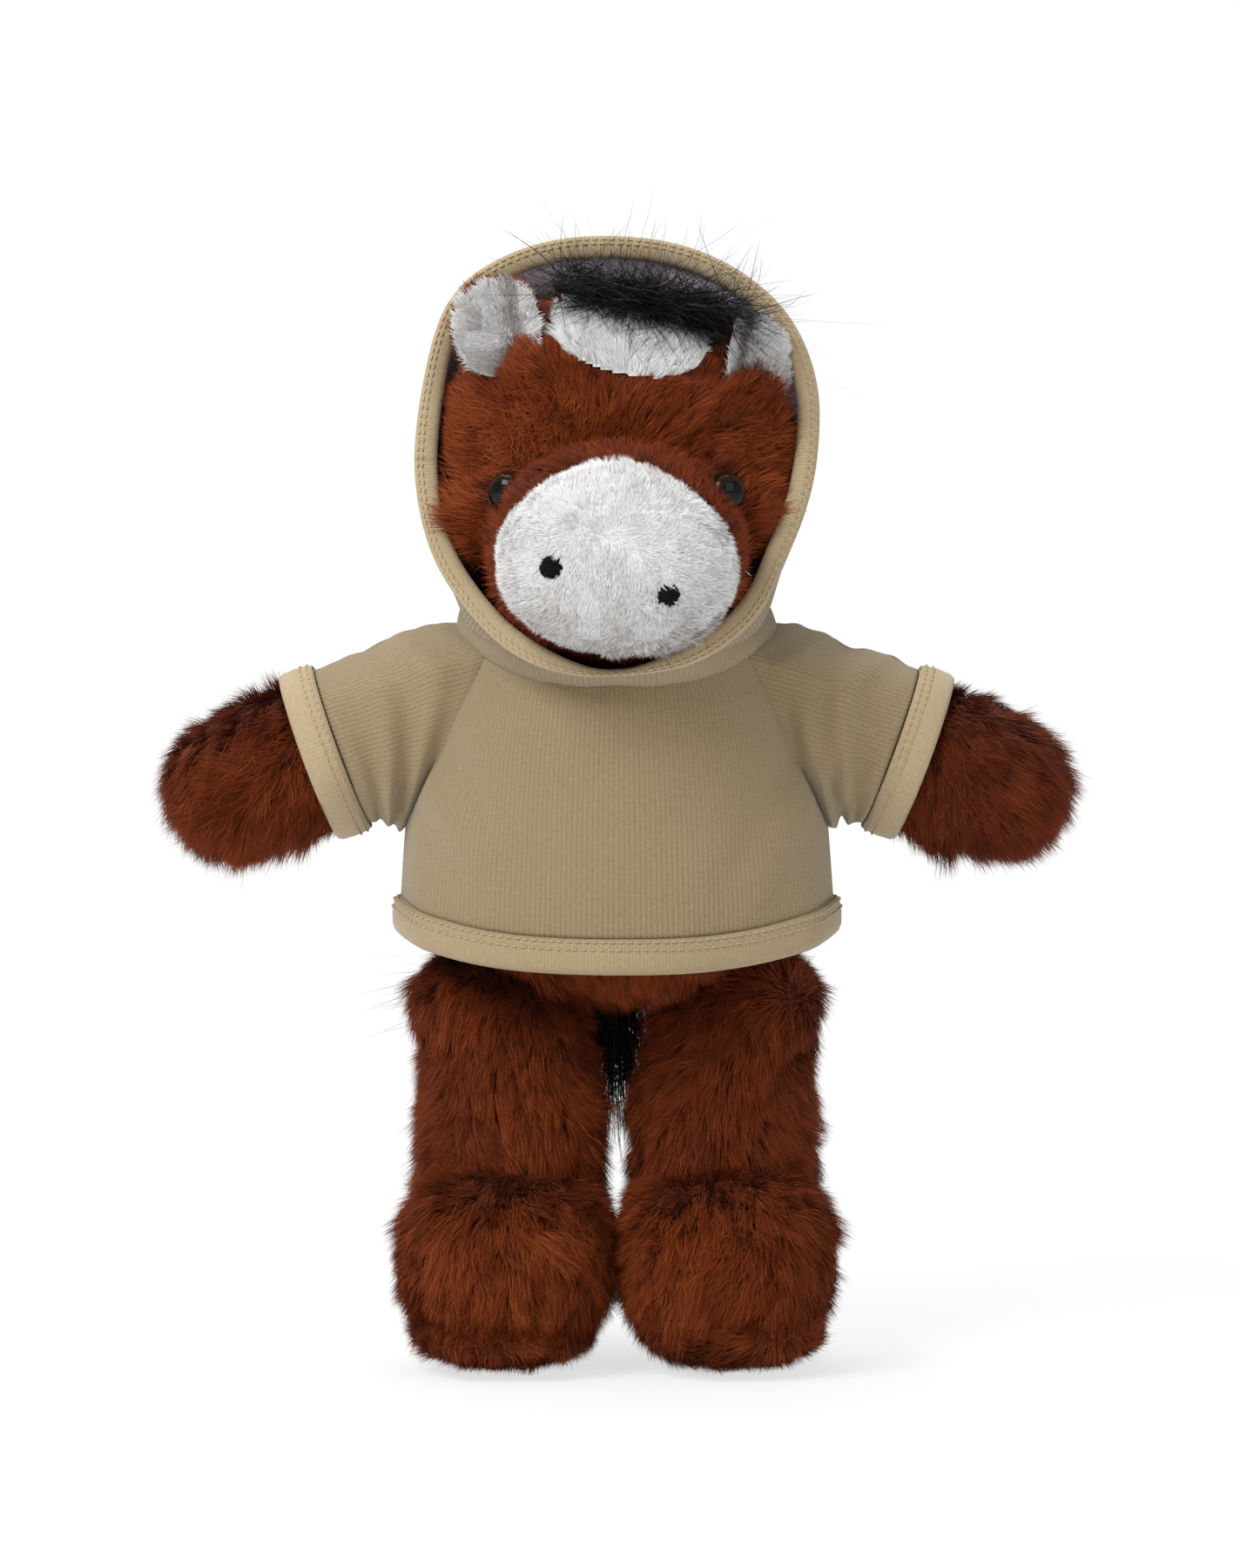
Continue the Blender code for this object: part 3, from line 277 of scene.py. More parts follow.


# The two numbers after each ramp are the painted shade at the roots and the brightness at the tips
BROWN = fur_material(
    "brown_fur", [(0.0, (0.095, 0.015, 0.0025)), (0.5, (0.185, 0.031, 0.0045)), (1.0, (0.37, 0.080, 0.012))],
    0.35, 1.2, sheen=0.03, gloss=0.13,
)
# The white fur's dark low tones carry the painted shade under the muzzle and in the ears' creases
WHITE = fur_material(
    "white_fur",
    [(0.0, (0.34, 0.31, 0.29)), (0.2, (0.66, 0.64, 0.62)), (0.5, (0.85, 0.84, 0.84)), (1.0, (0.94, 0.94, 0.94))],
    0.92, 1.0, roughness=0.8, sheen=0.1, gloss=0.1,
)
BLACK = fur_material(
    "black_strands", [(0.0, (0.002, 0.0018, 0.002)), (0.6, (0.006, 0.005, 0.006)), (1.0, (0.020, 0.016, 0.015))],
    0.6, 1.0, roughness=0.42, sheen=0.0, gloss=0.22,
)
FILL = fur_material("fibre_fill", [(0.0, (0.70, 0.70, 0.68)), (1.0, (0.85, 0.85, 0.83))], 0.8, 1.0)


def knit_group():
    """The face of a jersey knit in UV metres: its colour's shade, with painted shade in the grooves and random fuzz,
    and its height for bump.
    """
    group = bpy.data.node_groups.new("jersey_knit", "ShaderNodeTree")
    for name, way, kind in (("Coordinates", "INPUT", "Vector"), ("Wales per metre", "INPUT", "Float"),
                            ("Shade", "OUTPUT", "Float"), ("Height", "OUTPUT", "Float")):
        group.interface.new_socket(name, in_out=way, socket_type=f"NodeSocket{kind}")
    given, out = group.nodes.new("NodeGroupInput").outputs, group.nodes.new("NodeGroupOutput").inputs
    parts = add_node(group, "SeparateXYZ", {"Vector": given["Coordinates"]}).outputs
    across = calc(group, "MULTIPLY", parts["X"], given["Wales per metre"])
    along = calc(group, "MULTIPLY", parts["Y"], given["Wales per metre"])
    wale = calc(group, "ABSOLUTE", calc(group, "SUBTRACT", calc(group, "FRACT", across), 0.5))
    slant = calc(group, "ADD", calc(group, "MULTIPLY", along, 1.35), calc(group, "MULTIPLY", wale, 1.4))
    stitch = calc(group, "SINE", calc(group, "MULTIPLY", slant, 2 * math.pi))
    groove = calc(group, "POWER", calc(group, "MULTIPLY", wale, 2.0), 3.0)
    height = calc(group, "SUBTRACT", calc(group, "MULTIPLY", stitch, 0.28), groove)
    noise = add_node(group, "TexNoise", {"Scale": 900, "Detail": 3, "Vector": given["Coordinates"]})
    fuzz = calc(group, "MULTIPLY", calc(group, "SUBTRACT", noise.outputs["Fac"], 0.5), 0.35)
    # painted shade: the knit's colour darkens where its height is low, in the grooves between wales, and lightens on
    # the stitches
    shade = calc(group, "ADD", calc(group, "ADD", 0.96, calc(group, "MULTIPLY", height, 0.16)), fuzz)
    group.links.new(shade, out["Shade"])
    group.links.new(calc(group, "ADD", height, fuzz), out["Height"])
    return group


KNIT = knit_group()


def shade_and_bump(tree, shader, colour, shade, height, depth, strength=1.0):
    """A colour made lighter and darker by a shade, and a bump of a depth."""
    base = add_node(tree, "VectorMath", {0: colour, "Scale": shade}, operation="SCALE")
    bump = add_node(tree, "Bump", {"Strength": strength, "Distance": depth, "Height": height})
    tree.links.new(base.outputs[0], shader.inputs["Base Color"])
    tree.links.new(bump.outputs["Normal"], shader.inputs["Normal"])


def cloth_material(name, colour, wales, depth, roughness=0.92, sheen=0.25):
    """A knit cloth with its ribs, with painted shade in their grooves, small slubs and slow random changes of tone.
    """
    made, tree, shader = new_material(name, colour, roughness, sheen, gloss=0.15)
    coords = add_node(tree, "UVMap", uv_map="Cloth").outputs["UV"]
    knit = add_node(tree, "Group", {"Wales per metre": wales, "Coordinates": coords}, node_tree=KNIT).outputs
    slow = add_node(tree, "TexNoise", {"Scale": 45, "Vector": coords}).outputs["Fac"]
    drift = add_node(tree, "MapRange", {"To Min": 0.94, "To Max": 1.05, "Value": slow}).outputs["Result"]
    shade = calc(tree, "MULTIPLY", knit["Shade"], drift)
    shade_and_bump(tree, shader, colour, shade, knit["Height"], depth, 0.6)
    return made


JERSEY = cloth_material("tan_jersey_knit", (0.272, 0.207, 0.114), 790, 0.0003)
# The band cloth in lit and shaded copies: painted light makes the rim's and cuffs' band lighter, and painted shade
# makes the hem's darker
BAND = cloth_material("tan_jersey_band", (0.400, 0.309, 0.184), 1050, 0.00009)
FLEECE = cloth_material("grey_fleece_nap", (0.60, 0.56, 0.63), 420, 0.0005, roughness=1.0, sheen=0.5)
HEM_BAND_PAINTED_SHADE = cloth_material("tan_jersey_hem_painted_shade", (0.335, 0.255, 0.146), 1050, 0.00009)
THREAD = new_material("tan_thread", (0.40, 0.31, 0.19), 0.7)[0]


def bumpy_material(name, colour, roughness, scale, depth, gloss=0.5):
    """A plain finish with a fine grain in its shade and its bump."""
    made, tree, shader = new_material(name, colour, roughness, gloss=gloss)
    coords = add_node(tree, "TexCoord").outputs["Object"]
    grain = add_node(tree, "TexNoise", {"Scale": scale, "Vector": coords}).outputs["Fac"]
    drift = add_node(tree, "MapRange", {"To Min": 0.85, "To Max": 1.15, "Value": grain}).outputs["Result"]
    shade_and_bump(tree, shader, colour, drift, grain, depth)
    return made


PUPIL = bumpy_material("eye_black", (0.002, 0.0015, 0.0015), 0.05, 400, 0.000003, gloss=0.17)
IRIS = bumpy_material("eye_brown", (0.016, 0.006, 0.003), 0.12, 700, 0.000004, gloss=0.15)
WASHER = bumpy_material("washer_white", (0.70, 0.70, 0.68), 0.45, 300, 0.00003)
NOSE_THREAD = bumpy_material("nose_thread", (0.0035, 0.0032, 0.0035), 0.85, 4000, 0.00012, gloss=0.12)


# Fur and hair
FUR_STATIONS = 3
HAIR_STATIONS = 9


def scatter(rng, points, tris, density):
    """Random places on a form, so many to the square metre, with the form's normals there."""
    normals = normals_of(points, tris)
    a, b, c = (points[tris[:, k]] for k in range(3))
    area = np.linalg.norm(np.cross(b - a, c - a), axis=1) / 2
    count = int(area.sum() * density)
    pick = rng.choice(len(tris), count, p=area / area.sum())
    u, v = rng.random((2, count))
    over = u + v > 1
    u[over], v[over] = 1 - u[over], 1 - v[over]
    mix = np.stack([1 - u - v, u, v], 1)[:, :, None]
    where = (points[tris[pick]] * mix).sum(1)
    return where, unit((normals[tris[pick]] * mix).sum(1))


def clump_centres(points, size, seed):
    """The middle of the tuft that each point belongs to, in irregular cells of about a size."""
    warped = points + soft_noise(points, size * 1.3, seed) * size * 0.7
    cells = np.floor(warped / size).astype(np.int64)
    _, member = np.unique(cells, axis=0, return_inverse=True)
    member = member.reshape(-1)
    count = np.bincount(member)[:, None]
    centres = np.stack([np.bincount(member, points[:, k]) for k in range(3)], 1) / count
    return centres[member], member


def ribbons(paths, widths, sideways, tones):
    """Flat tapering strands along paths of (strand, station, xyz): points, triangles and (tone, root to tip)."""
    count, stations, _ = paths.shape
    share = np.linspace(0, 1, stations)
    half = widths[:, None] * 0.5 * (1 - 0.75 * share[None, :] ** 1.5)
    offset = sideways[:, None, :] * half[:, :, None]
    pair = np.stack([paths - offset, paths + offset], 2)[:, :-1].reshape(count, -1, 3)
    points = np.concatenate([pair, paths[:, -1:]], 1)
    each = 2 * stations - 1
    tris = []
    for a in range(0, 2 * stations - 4, 2):
        tris += [[a, a + 1, a + 3], [a, a + 3, a + 2]]
    tris.append([each - 3, each - 2, each - 1])
    tris = np.asarray(tris)[None] + (np.arange(count) * each)[:, None, None]
    v = np.append(np.repeat(share[:-1], 2), 1.0)
    u = tones[:, None] + np.append(np.tile([0, 0.004], stations - 1), 0)
    coords = np.stack([u, np.broadcast_to(v, (count, each))], -1)
    return points.reshape(-1, 3), tris.reshape(-1, 3), coords.reshape(-1, 2) * [0.98, 0.94] + [0.005, 0.05]


def skin_coords(points):
    """Coordinates for the cloth under the fur, in the dark roots' part of the map, where it takes the roots' painted
    shade.
    """
    flat = (points - points.min(0)) / np.ptp(points, axis=0)
    return np.stack([0.3 + 0.4 * flat[:, 0], 0.005 + 0.03 * flat[:, 2]], 1)


def fur(shape, density, length, comb, seed, lift=0.62, width=0.00026, tuft=0.0042, gather=0.34, mess=0.32,
        droop=0.10, keep=None, tone=0.0):
    """Combed, tufted fur on a form: its points, triangles and coordinates."""
    rng = np.random.default_rng(seed)
    roots, normals = scatter(rng, *shape, density)
    if keep is not None:
        held = keep(roots, normals)
        roots, normals = roots[held], normals[held]
    count = len(roots)
    lay = comb(roots) + soft_noise(roots, 0.012, seed + 1) * mess * 1.4 + rng.normal(size=(count, 3)) * mess * 0.45
    lay = unit(lay - normals * (lay * normals).sum(1, keepdims=True))
    rise = np.clip(lift + rng.normal(size=count) * 0.09, 0.2, 0.95)[:, None, None]
    reach = (length(roots) if callable(length) else np.full(count, length)) * (0.80 + 0.36 * rng.random(count))
    share = np.linspace(0, 1, FUR_STATIONS)[None, :, None]
    up = normals[:, None] * rise * (share - 0.22 * share**2)
    out = lay[:, None] * (1.05 - rise) * (0.75 * share + 0.55 * share**2)
    paths = roots[:, None] + (up + out) * reach[:, None, None]
    centres, member = clump_centres(roots, tuft, seed + 2)
    tuft_rng = np.random.default_rng(seed + 3)
    pull = gather * (0.6 + 0.6 * tuft_rng.random(member.max() + 1))[member]
    paths += (centres - roots)[:, None] * pull[:, None, None] * share**1.4
    sway = tuft_rng.normal(size=(member.max() + 1, 3))[member] * reach[:, None] * 0.13
    paths += sway[:, None] * share**1.5
    paths[..., 2] -= reach[:, None] * droop * share[..., 0] ** 2
    direction = unit(paths[:, -1] - paths[:, 0])
    sideways = unit(np.cross(direction, normals) + rng.normal(size=(count, 3)) * 0.35)
    tones = rng.normal(size=count) * 0.16 + 0.45 + (tone(roots) if callable(tone) else tone)
    tones += (tuft_rng.random(member.max() + 1)[member] - 0.5) * 0.25
    tones += soft_noise(roots, 0.02, seed + 4)[:, 0] * 0.08
    widths = width * (0.75 + 0.5 * rng.random(count))
    return ribbons(paths, widths, sideways, np.clip(tones, 0, 0.995))


def furry_piece(name, material, skins, coats, *place):
    """A piece of fur in its place: the skins under it and its coats of strands, in one mesh."""
    parts = [(*skin, skin_coords(skin[0])) for skin in skins] + coats
    starts = np.cumsum([0] + [len(part[0]) for part in parts])
    tris = np.vstack([part[1] + start for part, start in zip(parts, starts)])
    points, coords = (np.vstack([part[k] for part in parts]) for k in (0, 2))
    mesh = make_mesh(name, points, tris, coords, [material])
    return finish_piece(in_scene(name, mesh), *place)


def spread(centre, across, ahead, fall):
    """A comb that lays strands away from a middle, and down."""
    def lie(roots):
        out = (roots - centre) * [across, ahead, 0]
        out[:, 2] = fall
        return out

    return lie


DENSITY = 5.2e6


def leg_pieces(side):
    sign, body = SIDES[side], f"leg_{side}"
    root = np.array((sign * HIP, MIDDLE, HIP_HEIGHT))
    turn, seed = turned(math.pi / 2), 100 + sign
    shape = place_limb(limb(LEG_LENGTH, LEG_RADII, LEG_SHARES), root, turn)
    out, height = (shape[0][:, 0] - root[0]) * sign, shape[0][:, 2]
    inner = clamp(-out / 0.024) * clamp((0.088 - height) / 0.02)
    outer = clamp(out / 0.014) * clamp((height - 0.086) / 0.012)
    skin = roughened(inset(shape, 0.0048 - 0.0036 * inner - 0.0056 * outer), 0.02, 5 + sign, 0.0006)

    def length(roots):
        return np.interp(roots[:, 2], (0.03, 0.05, 0.10), (0.0100, 0.0096, 0.0086))

    coat = fur(skin, DENSITY * 1.18, length, spread(root, 10, 0, -1.0), seed, lift=0.60, mess=0.42, gather=0.24,
               tuft=0.0038, keep=lambda roots, _: roots[:, 2] > 0.030, tone=-0.10)
    furry_piece(f"leg_fur_{side}", BROWN, [skin], [coat], body, "brown_plush", f"leg_skin_{side}")
    core = place_limb(limb(0.068, (0.0150, 0.0154, 0.0148), LEG_SHARES, 32, 40), root, turn)
    core = roughened(core, 0.006, seed, 0.0005)
    furry_piece(f"leg_fill_{side}", FILL, [core], [], body, "stuffing", f"leg_stuffing_{side}")

    centre = np.array((sign * FOOT, MIDDLE - 0.010, 0.0300))
    shape = blob(centre, FOOT_HALF, FOOT_POWER)
    inner = clamp(-(shape[0][:, 0] - centre[0]) * sign / 0.029) ** 2
    skin = inset(shape, 0.0048 - 0.0022 * inner)
    coat = fur(skin, DENSITY * 1.1, 0.0092, spread(centre, 14, 22, -0.75), seed + 10, lift=0.62, mess=0.50,
               gather=0.24, tuft=0.0040, keep=lambda roots, _: roots[:, 2] > 0.0135, tone=0.06)
    furry_piece(f"foot_fur_{side}", BROWN, [skin], [coat], body, "brown_plush", f"foot_{side}")

    centre = np.array((sign * FOOT, MIDDLE - 0.009, 0.0115))
    skin = inset(blob(centre, SOLE_HALF, FOOT_POWER), 0.0040)
    skin[0][:, 2] = np.maximum(skin[0][:, 2], 0.0004)
    coat = fur(skin, DENSITY, 0.0074, spread(centre, 30, 30, -0.25), seed + 20, lift=0.5, mess=0.5, droop=0.05,
               keep=lambda roots, _: (roots[:, 2] > 0.0012) & (roots[:, 2] < 0.019))
    coat[0][:, 2] = np.maximum(coat[0][:, 2], 0.0003)
    furry_piece(f"sole_fur_{side}", BROWN, [skin], [coat], body, "brown_plush", f"sole_{side}")


def arm_frame(side):
    """The arm's root and axis, and the directions across it: up from the arm, and to the front."""
    sign = SIDES[side]
    axis = np.array((sign * math.cos(ARM_DROOP), 0, -math.sin(ARM_DROOP)))
    up = np.array((sign * math.sin(ARM_DROOP), 0, math.cos(ARM_DROOP)))
    return np.array((sign * SHOULDER, MIDDLE, SHOULDER_HEIGHT)), axis, up, np.array((0, -1.0, 0))


def arm_pieces(side):
    sign, body = SIDES[side], f"arm_{side}"
    root, axis, _, _ = arm_frame(side)
    turn = turned(ARM_DROOP if sign > 0 else math.pi - ARM_DROOP)
    shape = place_limb(limb(ARM_LENGTH, ARM_RADII, ARM_SHARES), root, turn)
    depth = np.interp((shape[0] - root) @ axis, (0.0, 0.040, 0.052, 0.09), (0.0040, 0.0044, 0.0050, 0.0052))
    skin = inset(shape, depth)

    def length(roots):
        return np.interp((roots - root) @ axis, (0.036, 0.050, 0.060, 0.09), (0.0054, 0.0086, 0.0100, 0.0102))

    # painted shade: the toy's left arm, on the side away from the key light, has its fur tone lowered to -0.30
    # against -0.12 for the right
    coat = fur(skin, DENSITY * 1.2, length, lambda roots: axis + [0, 0, -0.45], 200 + sign, lift=0.60, mess=0.48,
               gather=0.24, tuft=0.0038, keep=lambda roots, _: (roots - root) @ axis > 0.036,
               tone=-0.12 if sign < 0 else -0.30)
    furry_piece(f"arm_fur_{side}", BROWN, [skin], [coat], body, "brown_plush", f"arm_skin_{side}")
    core = place_limb(limb(0.080, (0.0105, 0.0125, 0.0145, 0.0125), ARM_SHARES, 32, 40), root, turn)
    core = roughened(core, 0.006, 7, 0.0004)
    furry_piece(f"arm_fill_{side}", FILL, [core], [], body, "stuffing", f"arm_stuffing_{side}")


def body_pieces():
    points, tris = ball(64, 48)
    rise = (1 + points[:, 2]) / 2
    ring = unit(points[:, :2])
    close = np.maximum(0, 1 - np.abs(points[:, 2]) ** BODY_POWER) ** (1 / BODY_POWER)
    wide = BODY_HALF[0] * np.interp(rise, (0, 0.3, 0.55, 0.75, 1), (0.86, 1, 0.97, 0.9, 0.8)) * close
    deep = BODY_HALF[1] * np.interp(rise, (0, 0.3, 0.6, 1), (0.86, 1, 0.97, 0.84)) * close
    height = BODY_BOTTOM + BODY_HEIGHT * rise
    shape = np.column_stack([ring[:, 0] * wide, ring[:, 1] * deep + MIDDLE, height]), tris
    skin = inset(shape, np.interp(height, (0.094, 0.115, 0.19), (0.0062, 0.0062, 0.0040)))
    downward = spread(NECK, 0, 0, -1.0)
    coat = fur(skin, DENSITY, 0.0085, downward, 300, lift=0.6, keep=lambda roots, _: roots[:, 2] < 0.114)
    furry_piece("body_fur", BROWN, [skin], [coat], "torso", "brown_plush", "body_skin")
    core = inset(shape, np.interp(height, (0.094, 0.125, 0.150), (0.0150, 0.0125, 0.0095)))
    core = roughened(core, 0.006, 8, 0.0005)
    furry_piece("body_fill", FILL, [core], [], "torso", "stuffing", "body_stuffing")
    neck = blob(NECK, [NECK_RADIUS] * 3, around=48, along=32)
    coat = fur(neck, DENSITY * 0.4, 0.0025, downward, 310)
    furry_piece("neck_fur", BROWN, [neck], [coat], "neck", "brown_plush", "neck")


# Head
def inside_blob(local, half, power):
    return (np.abs(local / half) ** power).sum(1) < 1


SNOUT_TURN = turned(SNOUT_TILT, "X")
EYE_ACROSS = 0.0278
EYE_HEIGHT = 0.2330
EYES = [np.array((sign * EYE_ACROSS, MIDDLE - 0.0372, EYE_HEIGHT)) for sign in SIDES.values()]


def near_eyes(points):
    """How near points are to an eye, from 0, far, to 1, at it."""
    return np.max([np.exp(-(np.linalg.norm(points - place, axis=1) / 0.0085) ** 4) for place in EYES], axis=0)


def in_snout(points):
    """Points in the snout's own axes."""
    return (points - SNOUT) @ SNOUT_TURN


def from_snout(local):
    return local @ SNOUT_TURN.T + SNOUT


def before_rim(points):
    """How far points are in front of the plane of the hood's opening."""
    return MIDDLE - RIM_AHEAD + RIM_LEAN * (points[:, 2] - HOOD_MIDDLE[1]) - points[:, 1]


# The middle of the hood's opening, as (x, z), and how far its plane is ahead there and leans
HOOD_MIDDLE = (0.0, 0.2410)
RIM_AHEAD = 0.0215
RIM_LEAN = 0.30
MUZZLE_HALF = np.array((0.0297, 0.0218, 0.0252))
MUZZLE_POWER = 2.2
MUZZLE_ROLL = math.radians(8)


def muzzle_egg(local):
    """The muzzle's form, narrower at the top and rolled a little, from an even one."""
    high = clamp(local[:, 2] / MUZZLE_HALF[2])
    local = local * np.where(local[:, 2:] < 0, [[1, 1, 0.91]], [[1, 1, 0.99]])
    local[:, 0] *= 1 - 0.30 * high**2
    return local @ turned(MUZZLE_ROLL).T


def head_coat():
    """The head's skin and its fur, fuller beside the muzzle and shorter at the blaze and under the hood."""
    shape = blob(HEAD, HEAD_HALF, HEAD_POWER, 96, 64)
    x, _, z = shape[0].T
    ahead = before_rim(shape[0])
    side = clamp((np.hypot(x / 0.048, (z - 0.2410) / 0.052) - 0.72) / 0.16)
    side *= clamp((0.268 - z) / 0.008) * clamp((ahead + 0.009) / 0.006)
    cheek = clamp((0.237 - z) / 0.008) * clamp((z - 0.200) / 0.008)
    cheek *= clamp((np.abs(x) - 0.022) / 0.010) * clamp((ahead + 0.004) / 0.005)
    cheek *= 1 + 0.6 * clamp((-0.026 - x) / 0.008)
    mound = np.exp(-((x + 0.021) ** 2 + (z - 0.2685) ** 2) / 0.0060**2)
    mound += np.exp(-((x - 0.0335) ** 2 + (z - 0.2590) ** 2) / 0.0055**2)
    skin = inset(shape, 0.0050 - 0.0020 * near_eyes(shape[0]) - 0.0036 * side - 0.0052 * cheek - 0.0042 * mound)

    def shown(roots, _):
        free = ~inside_blob(in_snout(roots), SNOUT_HALF - 0.0045, 2.0)
        return (before_rim(roots) > -0.012) & free & (near_eyes(roots) < 0.80) & (on_blaze(roots) > 0.90)

    def lie(roots):
        return unit((roots - SNOUT) * [1.0, 0.25, 1.0]) * 0.8 + [0, 0.45, 0.0]

    def length(roots):
        out = np.abs(roots[:, 0])
        low = clamp((0.232 - roots[:, 2]) / 0.02) * clamp((out - 0.015) / 0.02)
        edge = clamp((on_blaze(roots) - 0.9) / 0.5)
        side = clamp((out - 0.033) / 0.008)
        ahead = clamp((before_rim(roots) + 0.005) / 0.006)
        return (0.0070 + (0.0065 * low + 0.0032 * side) * ahead) * (0.62 + 0.38 * edge) * (0.55 + 0.45 * ahead)

    return skin, fur(skin, DENSITY * 0.85, length, lie, 400, lift=0.52, width=0.00030, mess=0.62, tuft=0.0050,
                     gather=0.26, keep=shown, tone=0.02, droop=0.02)


def snout_coat():
    """The snout's skin, flat behind the muzzle, and its fur."""
    points, tris = blob(SNOUT, SNOUT_HALF, 2.0, 96, 64, SNOUT_TURN)
    local = in_snout(points)
    front = local[:, 1] < SEAM
    local[front, 1] = SEAM
    points = from_snout(local)
    skin = inset((points, tris), np.where(front, 0.0, 0.0040 + 0.0020 * near_eyes(points)))

    def shown(roots, _):
        free = ~inside_blob(roots - HEAD, HEAD_HALF - 0.006, HEAD_POWER)
        return free & (in_snout(roots)[:, 1] > SEAM + 0.0005) & (near_eyes(roots) < 0.90)

    def lie(roots):
        return (in_snout(roots) * [8, 0, 0] + [0, 0.9, 0]) @ SNOUT_TURN.T

    def length(roots):
        local = in_snout(roots)
        side = clamp((0.006 - local[:, 2]) / 0.02)
        return np.interp(local[:, 1], (SEAM, SEAM + 0.012), (0.0056, 0.0076)) + 0.0035 * side

    return skin, fur(skin, DENSITY * 0.85, length, lie, 410, lift=0.50, width=0.00030, mess=0.60, tuft=0.0050,
                     gather=0.26, keep=shown, tone=-0.12, droop=0.0)


def muzzle_piece():
    skin = blob((0, SEAM, 0), MUZZLE_HALF, MUZZLE_POWER, 96, 64)
    skin[0][:, 1] = np.minimum(skin[0][:, 1], SEAM + 0.0006)
    skin = from_snout(muzzle_egg(skin[0])), skin[1]

    def outward(local):
        return np.hypot(local[:, 0] / MUZZLE_HALF[0], local[:, 2] / MUZZLE_HALF[2])

    def shown(roots, _):
        local = in_snout(roots)
        clear = local[:, 1] < SEAM + 0.0002
        for place in nostril_places().values():
            clear &= np.hypot(local[:, 0] - place[0], local[:, 2] - place[2]) > 0.0024
        return clear

    def lie(roots):
        local = in_snout(roots)
        out = outward(local)[:, None]
        lay = local * [1, 0, 1] * out + np.array([0.001, 0.004, -0.012]) * (1 - clamp(out))
        return unit(lay @ SNOUT_TURN.T)

    def length(roots):
        return np.interp(outward(in_snout(roots)), (0.0, 0.75, 1.0), (0.0019, 0.0023, 0.0036))

    # painted shade: the muzzle's white fur darkens toward its underside and lightens toward its top
    def shade(roots):
        rise = np.clip(in_snout(roots)[:, 2] / MUZZLE_HALF[2], -1, 1)
        return np.interp(rise, (-1.0, -0.3, 0.3, 1.0), (-0.34, -0.08, 0.20, 0.28))

    coat = fur(skin, DENSITY * 2.0, length, lie, 420, lift=0.60, width=0.00022, tuft=0.0040, gather=0.10, mess=0.42,
               droop=0.02, keep=shown, tone=shade)
    furry_piece("muzzle_fur", WHITE, [skin], [coat], "head", "white_plush", "muzzle")


def head_pieces():
    (head_skin, head), (snout_skin, snout) = head_coat(), snout_coat()
    furry_piece("head_fur", BROWN, [head_skin, snout_skin], [head, snout], "head", "brown_plush", "head_skin")
    core = roughened(blob(HEAD, HEAD_HALF - 0.0095, HEAD_POWER, 48, 32), 0.007, 9, 0.0005)
    snout_core = blob(SNOUT + [0, 0.006, 0], SNOUT_HALF - [0.0095, 0.016, 0.0085], 2.0, 48, 32, SNOUT_TURN)
    furry_piece("head_fill", FILL, [core, snout_core], [], "head", "stuffing", "head_stuffing")
    muzzle_piece()


def nostril_places():
    """Each nostril's middle on the muzzle's surface, in the snout's own axes."""
    places = {}
    for side, sign in SIDES.items():
        across = sign * 0.0150 - 0.0018
        drop = -0.0018 - across * math.tan(math.radians(13))
        half, power = MUZZLE_HALF, MUZZLE_POWER
        share = 1 - abs(across / half[0]) ** power - abs(drop / half[2]) ** power
        places[side] = np.array((across, SEAM - half[1] * share ** (1 / power) - 0.0002, drop))
    return places


def tube_along(path, radius, around):
    """A round tube's points and faces along a path, closed at both ends."""
    path = np.asarray(path, float)
    run = unit(np.gradient(path, axis=0))
    helper = np.array((0.0, 0.0, 1.0)) if abs(run[0, 2]) < 0.9 else np.array((1.0, 0.0, 0.0))
    first = unit(np.cross(run, helper))
    second = np.cross(run, first)
    spin = round_turns(around)
    circle = first[:, None] * np.cos(spin)[None, :, None] + second[:, None] * np.sin(spin)[None, :, None]
    points = (path[:, None] + circle * np.broadcast_to(radius, len(path))[:, None, None]).reshape(-1, 3)
    ends = [list(range(around))[::-1], list(range(len(points) - around, len(points)))]
    return points, grid_faces(len(path), around) + ends


def merge_polygons(shapes):
    points, faces, start = [], [], 0
    for shape in shapes:
        points.append(shape[0])
        faces += [[index + start for index in face] for face in shape[1]]
        start += len(shape[0])
    return np.vstack(points), faces


def nostril_pieces():
    """Each nostril as a round knot of short black threads that cross each other over a swell."""
    run = np.linspace(-1, 1, 9)
    for side, place in nostril_places().items():
        rng = np.random.default_rng(500 + SIDES[side])
        threads = []
        for _ in range(34):
            heading, off = rng.random() * 2 * np.pi, rng.normal() * 0.0011
            reach = 0.0030 * math.sqrt(max(0.1, 1 - (off / 0.0031) ** 2)) * (0.7 + 0.4 * rng.random())
            bow = np.sin(run * 2 + rng.random() * 6) * 0.0004
            across = run * reach * math.cos(heading) - (off + bow) * math.sin(heading)
            along = run * reach * math.sin(heading) + (off + bow) * math.cos(heading)
            swell = np.sqrt(np.maximum(0, 1 - np.hypot(across, along) ** 2 / 0.0034**2))
            swell = -0.0020 * swell * (0.6 + 0.6 * rng.random())
            local = np.stack([across, swell + 0.0010, along], 1) @ turned(place[0] / 0.0322, "Z").T + place
            threads.append(tube_along(from_snout(local), 0.00034, 6))
        mesh = make_mesh("nostril", *merge_polygons(threads), None, [NOSE_THREAD])
        finish_piece(in_scene(f"nostril_stitches_{side}", mesh), "head", "black_thread", f"nostril_{side}")


# An eye's profile below its dome, as (radius, height)
EYE_BASE = [(0.0, -0.0061), (0.0018, -0.0061), (0.0018, -0.0002), (0.0050, -0.0002), (0.0053, 0.0003),
            (0.0053, 0.0012)]
EYE_RADIUS = 0.0053
EYE_DOME = 16


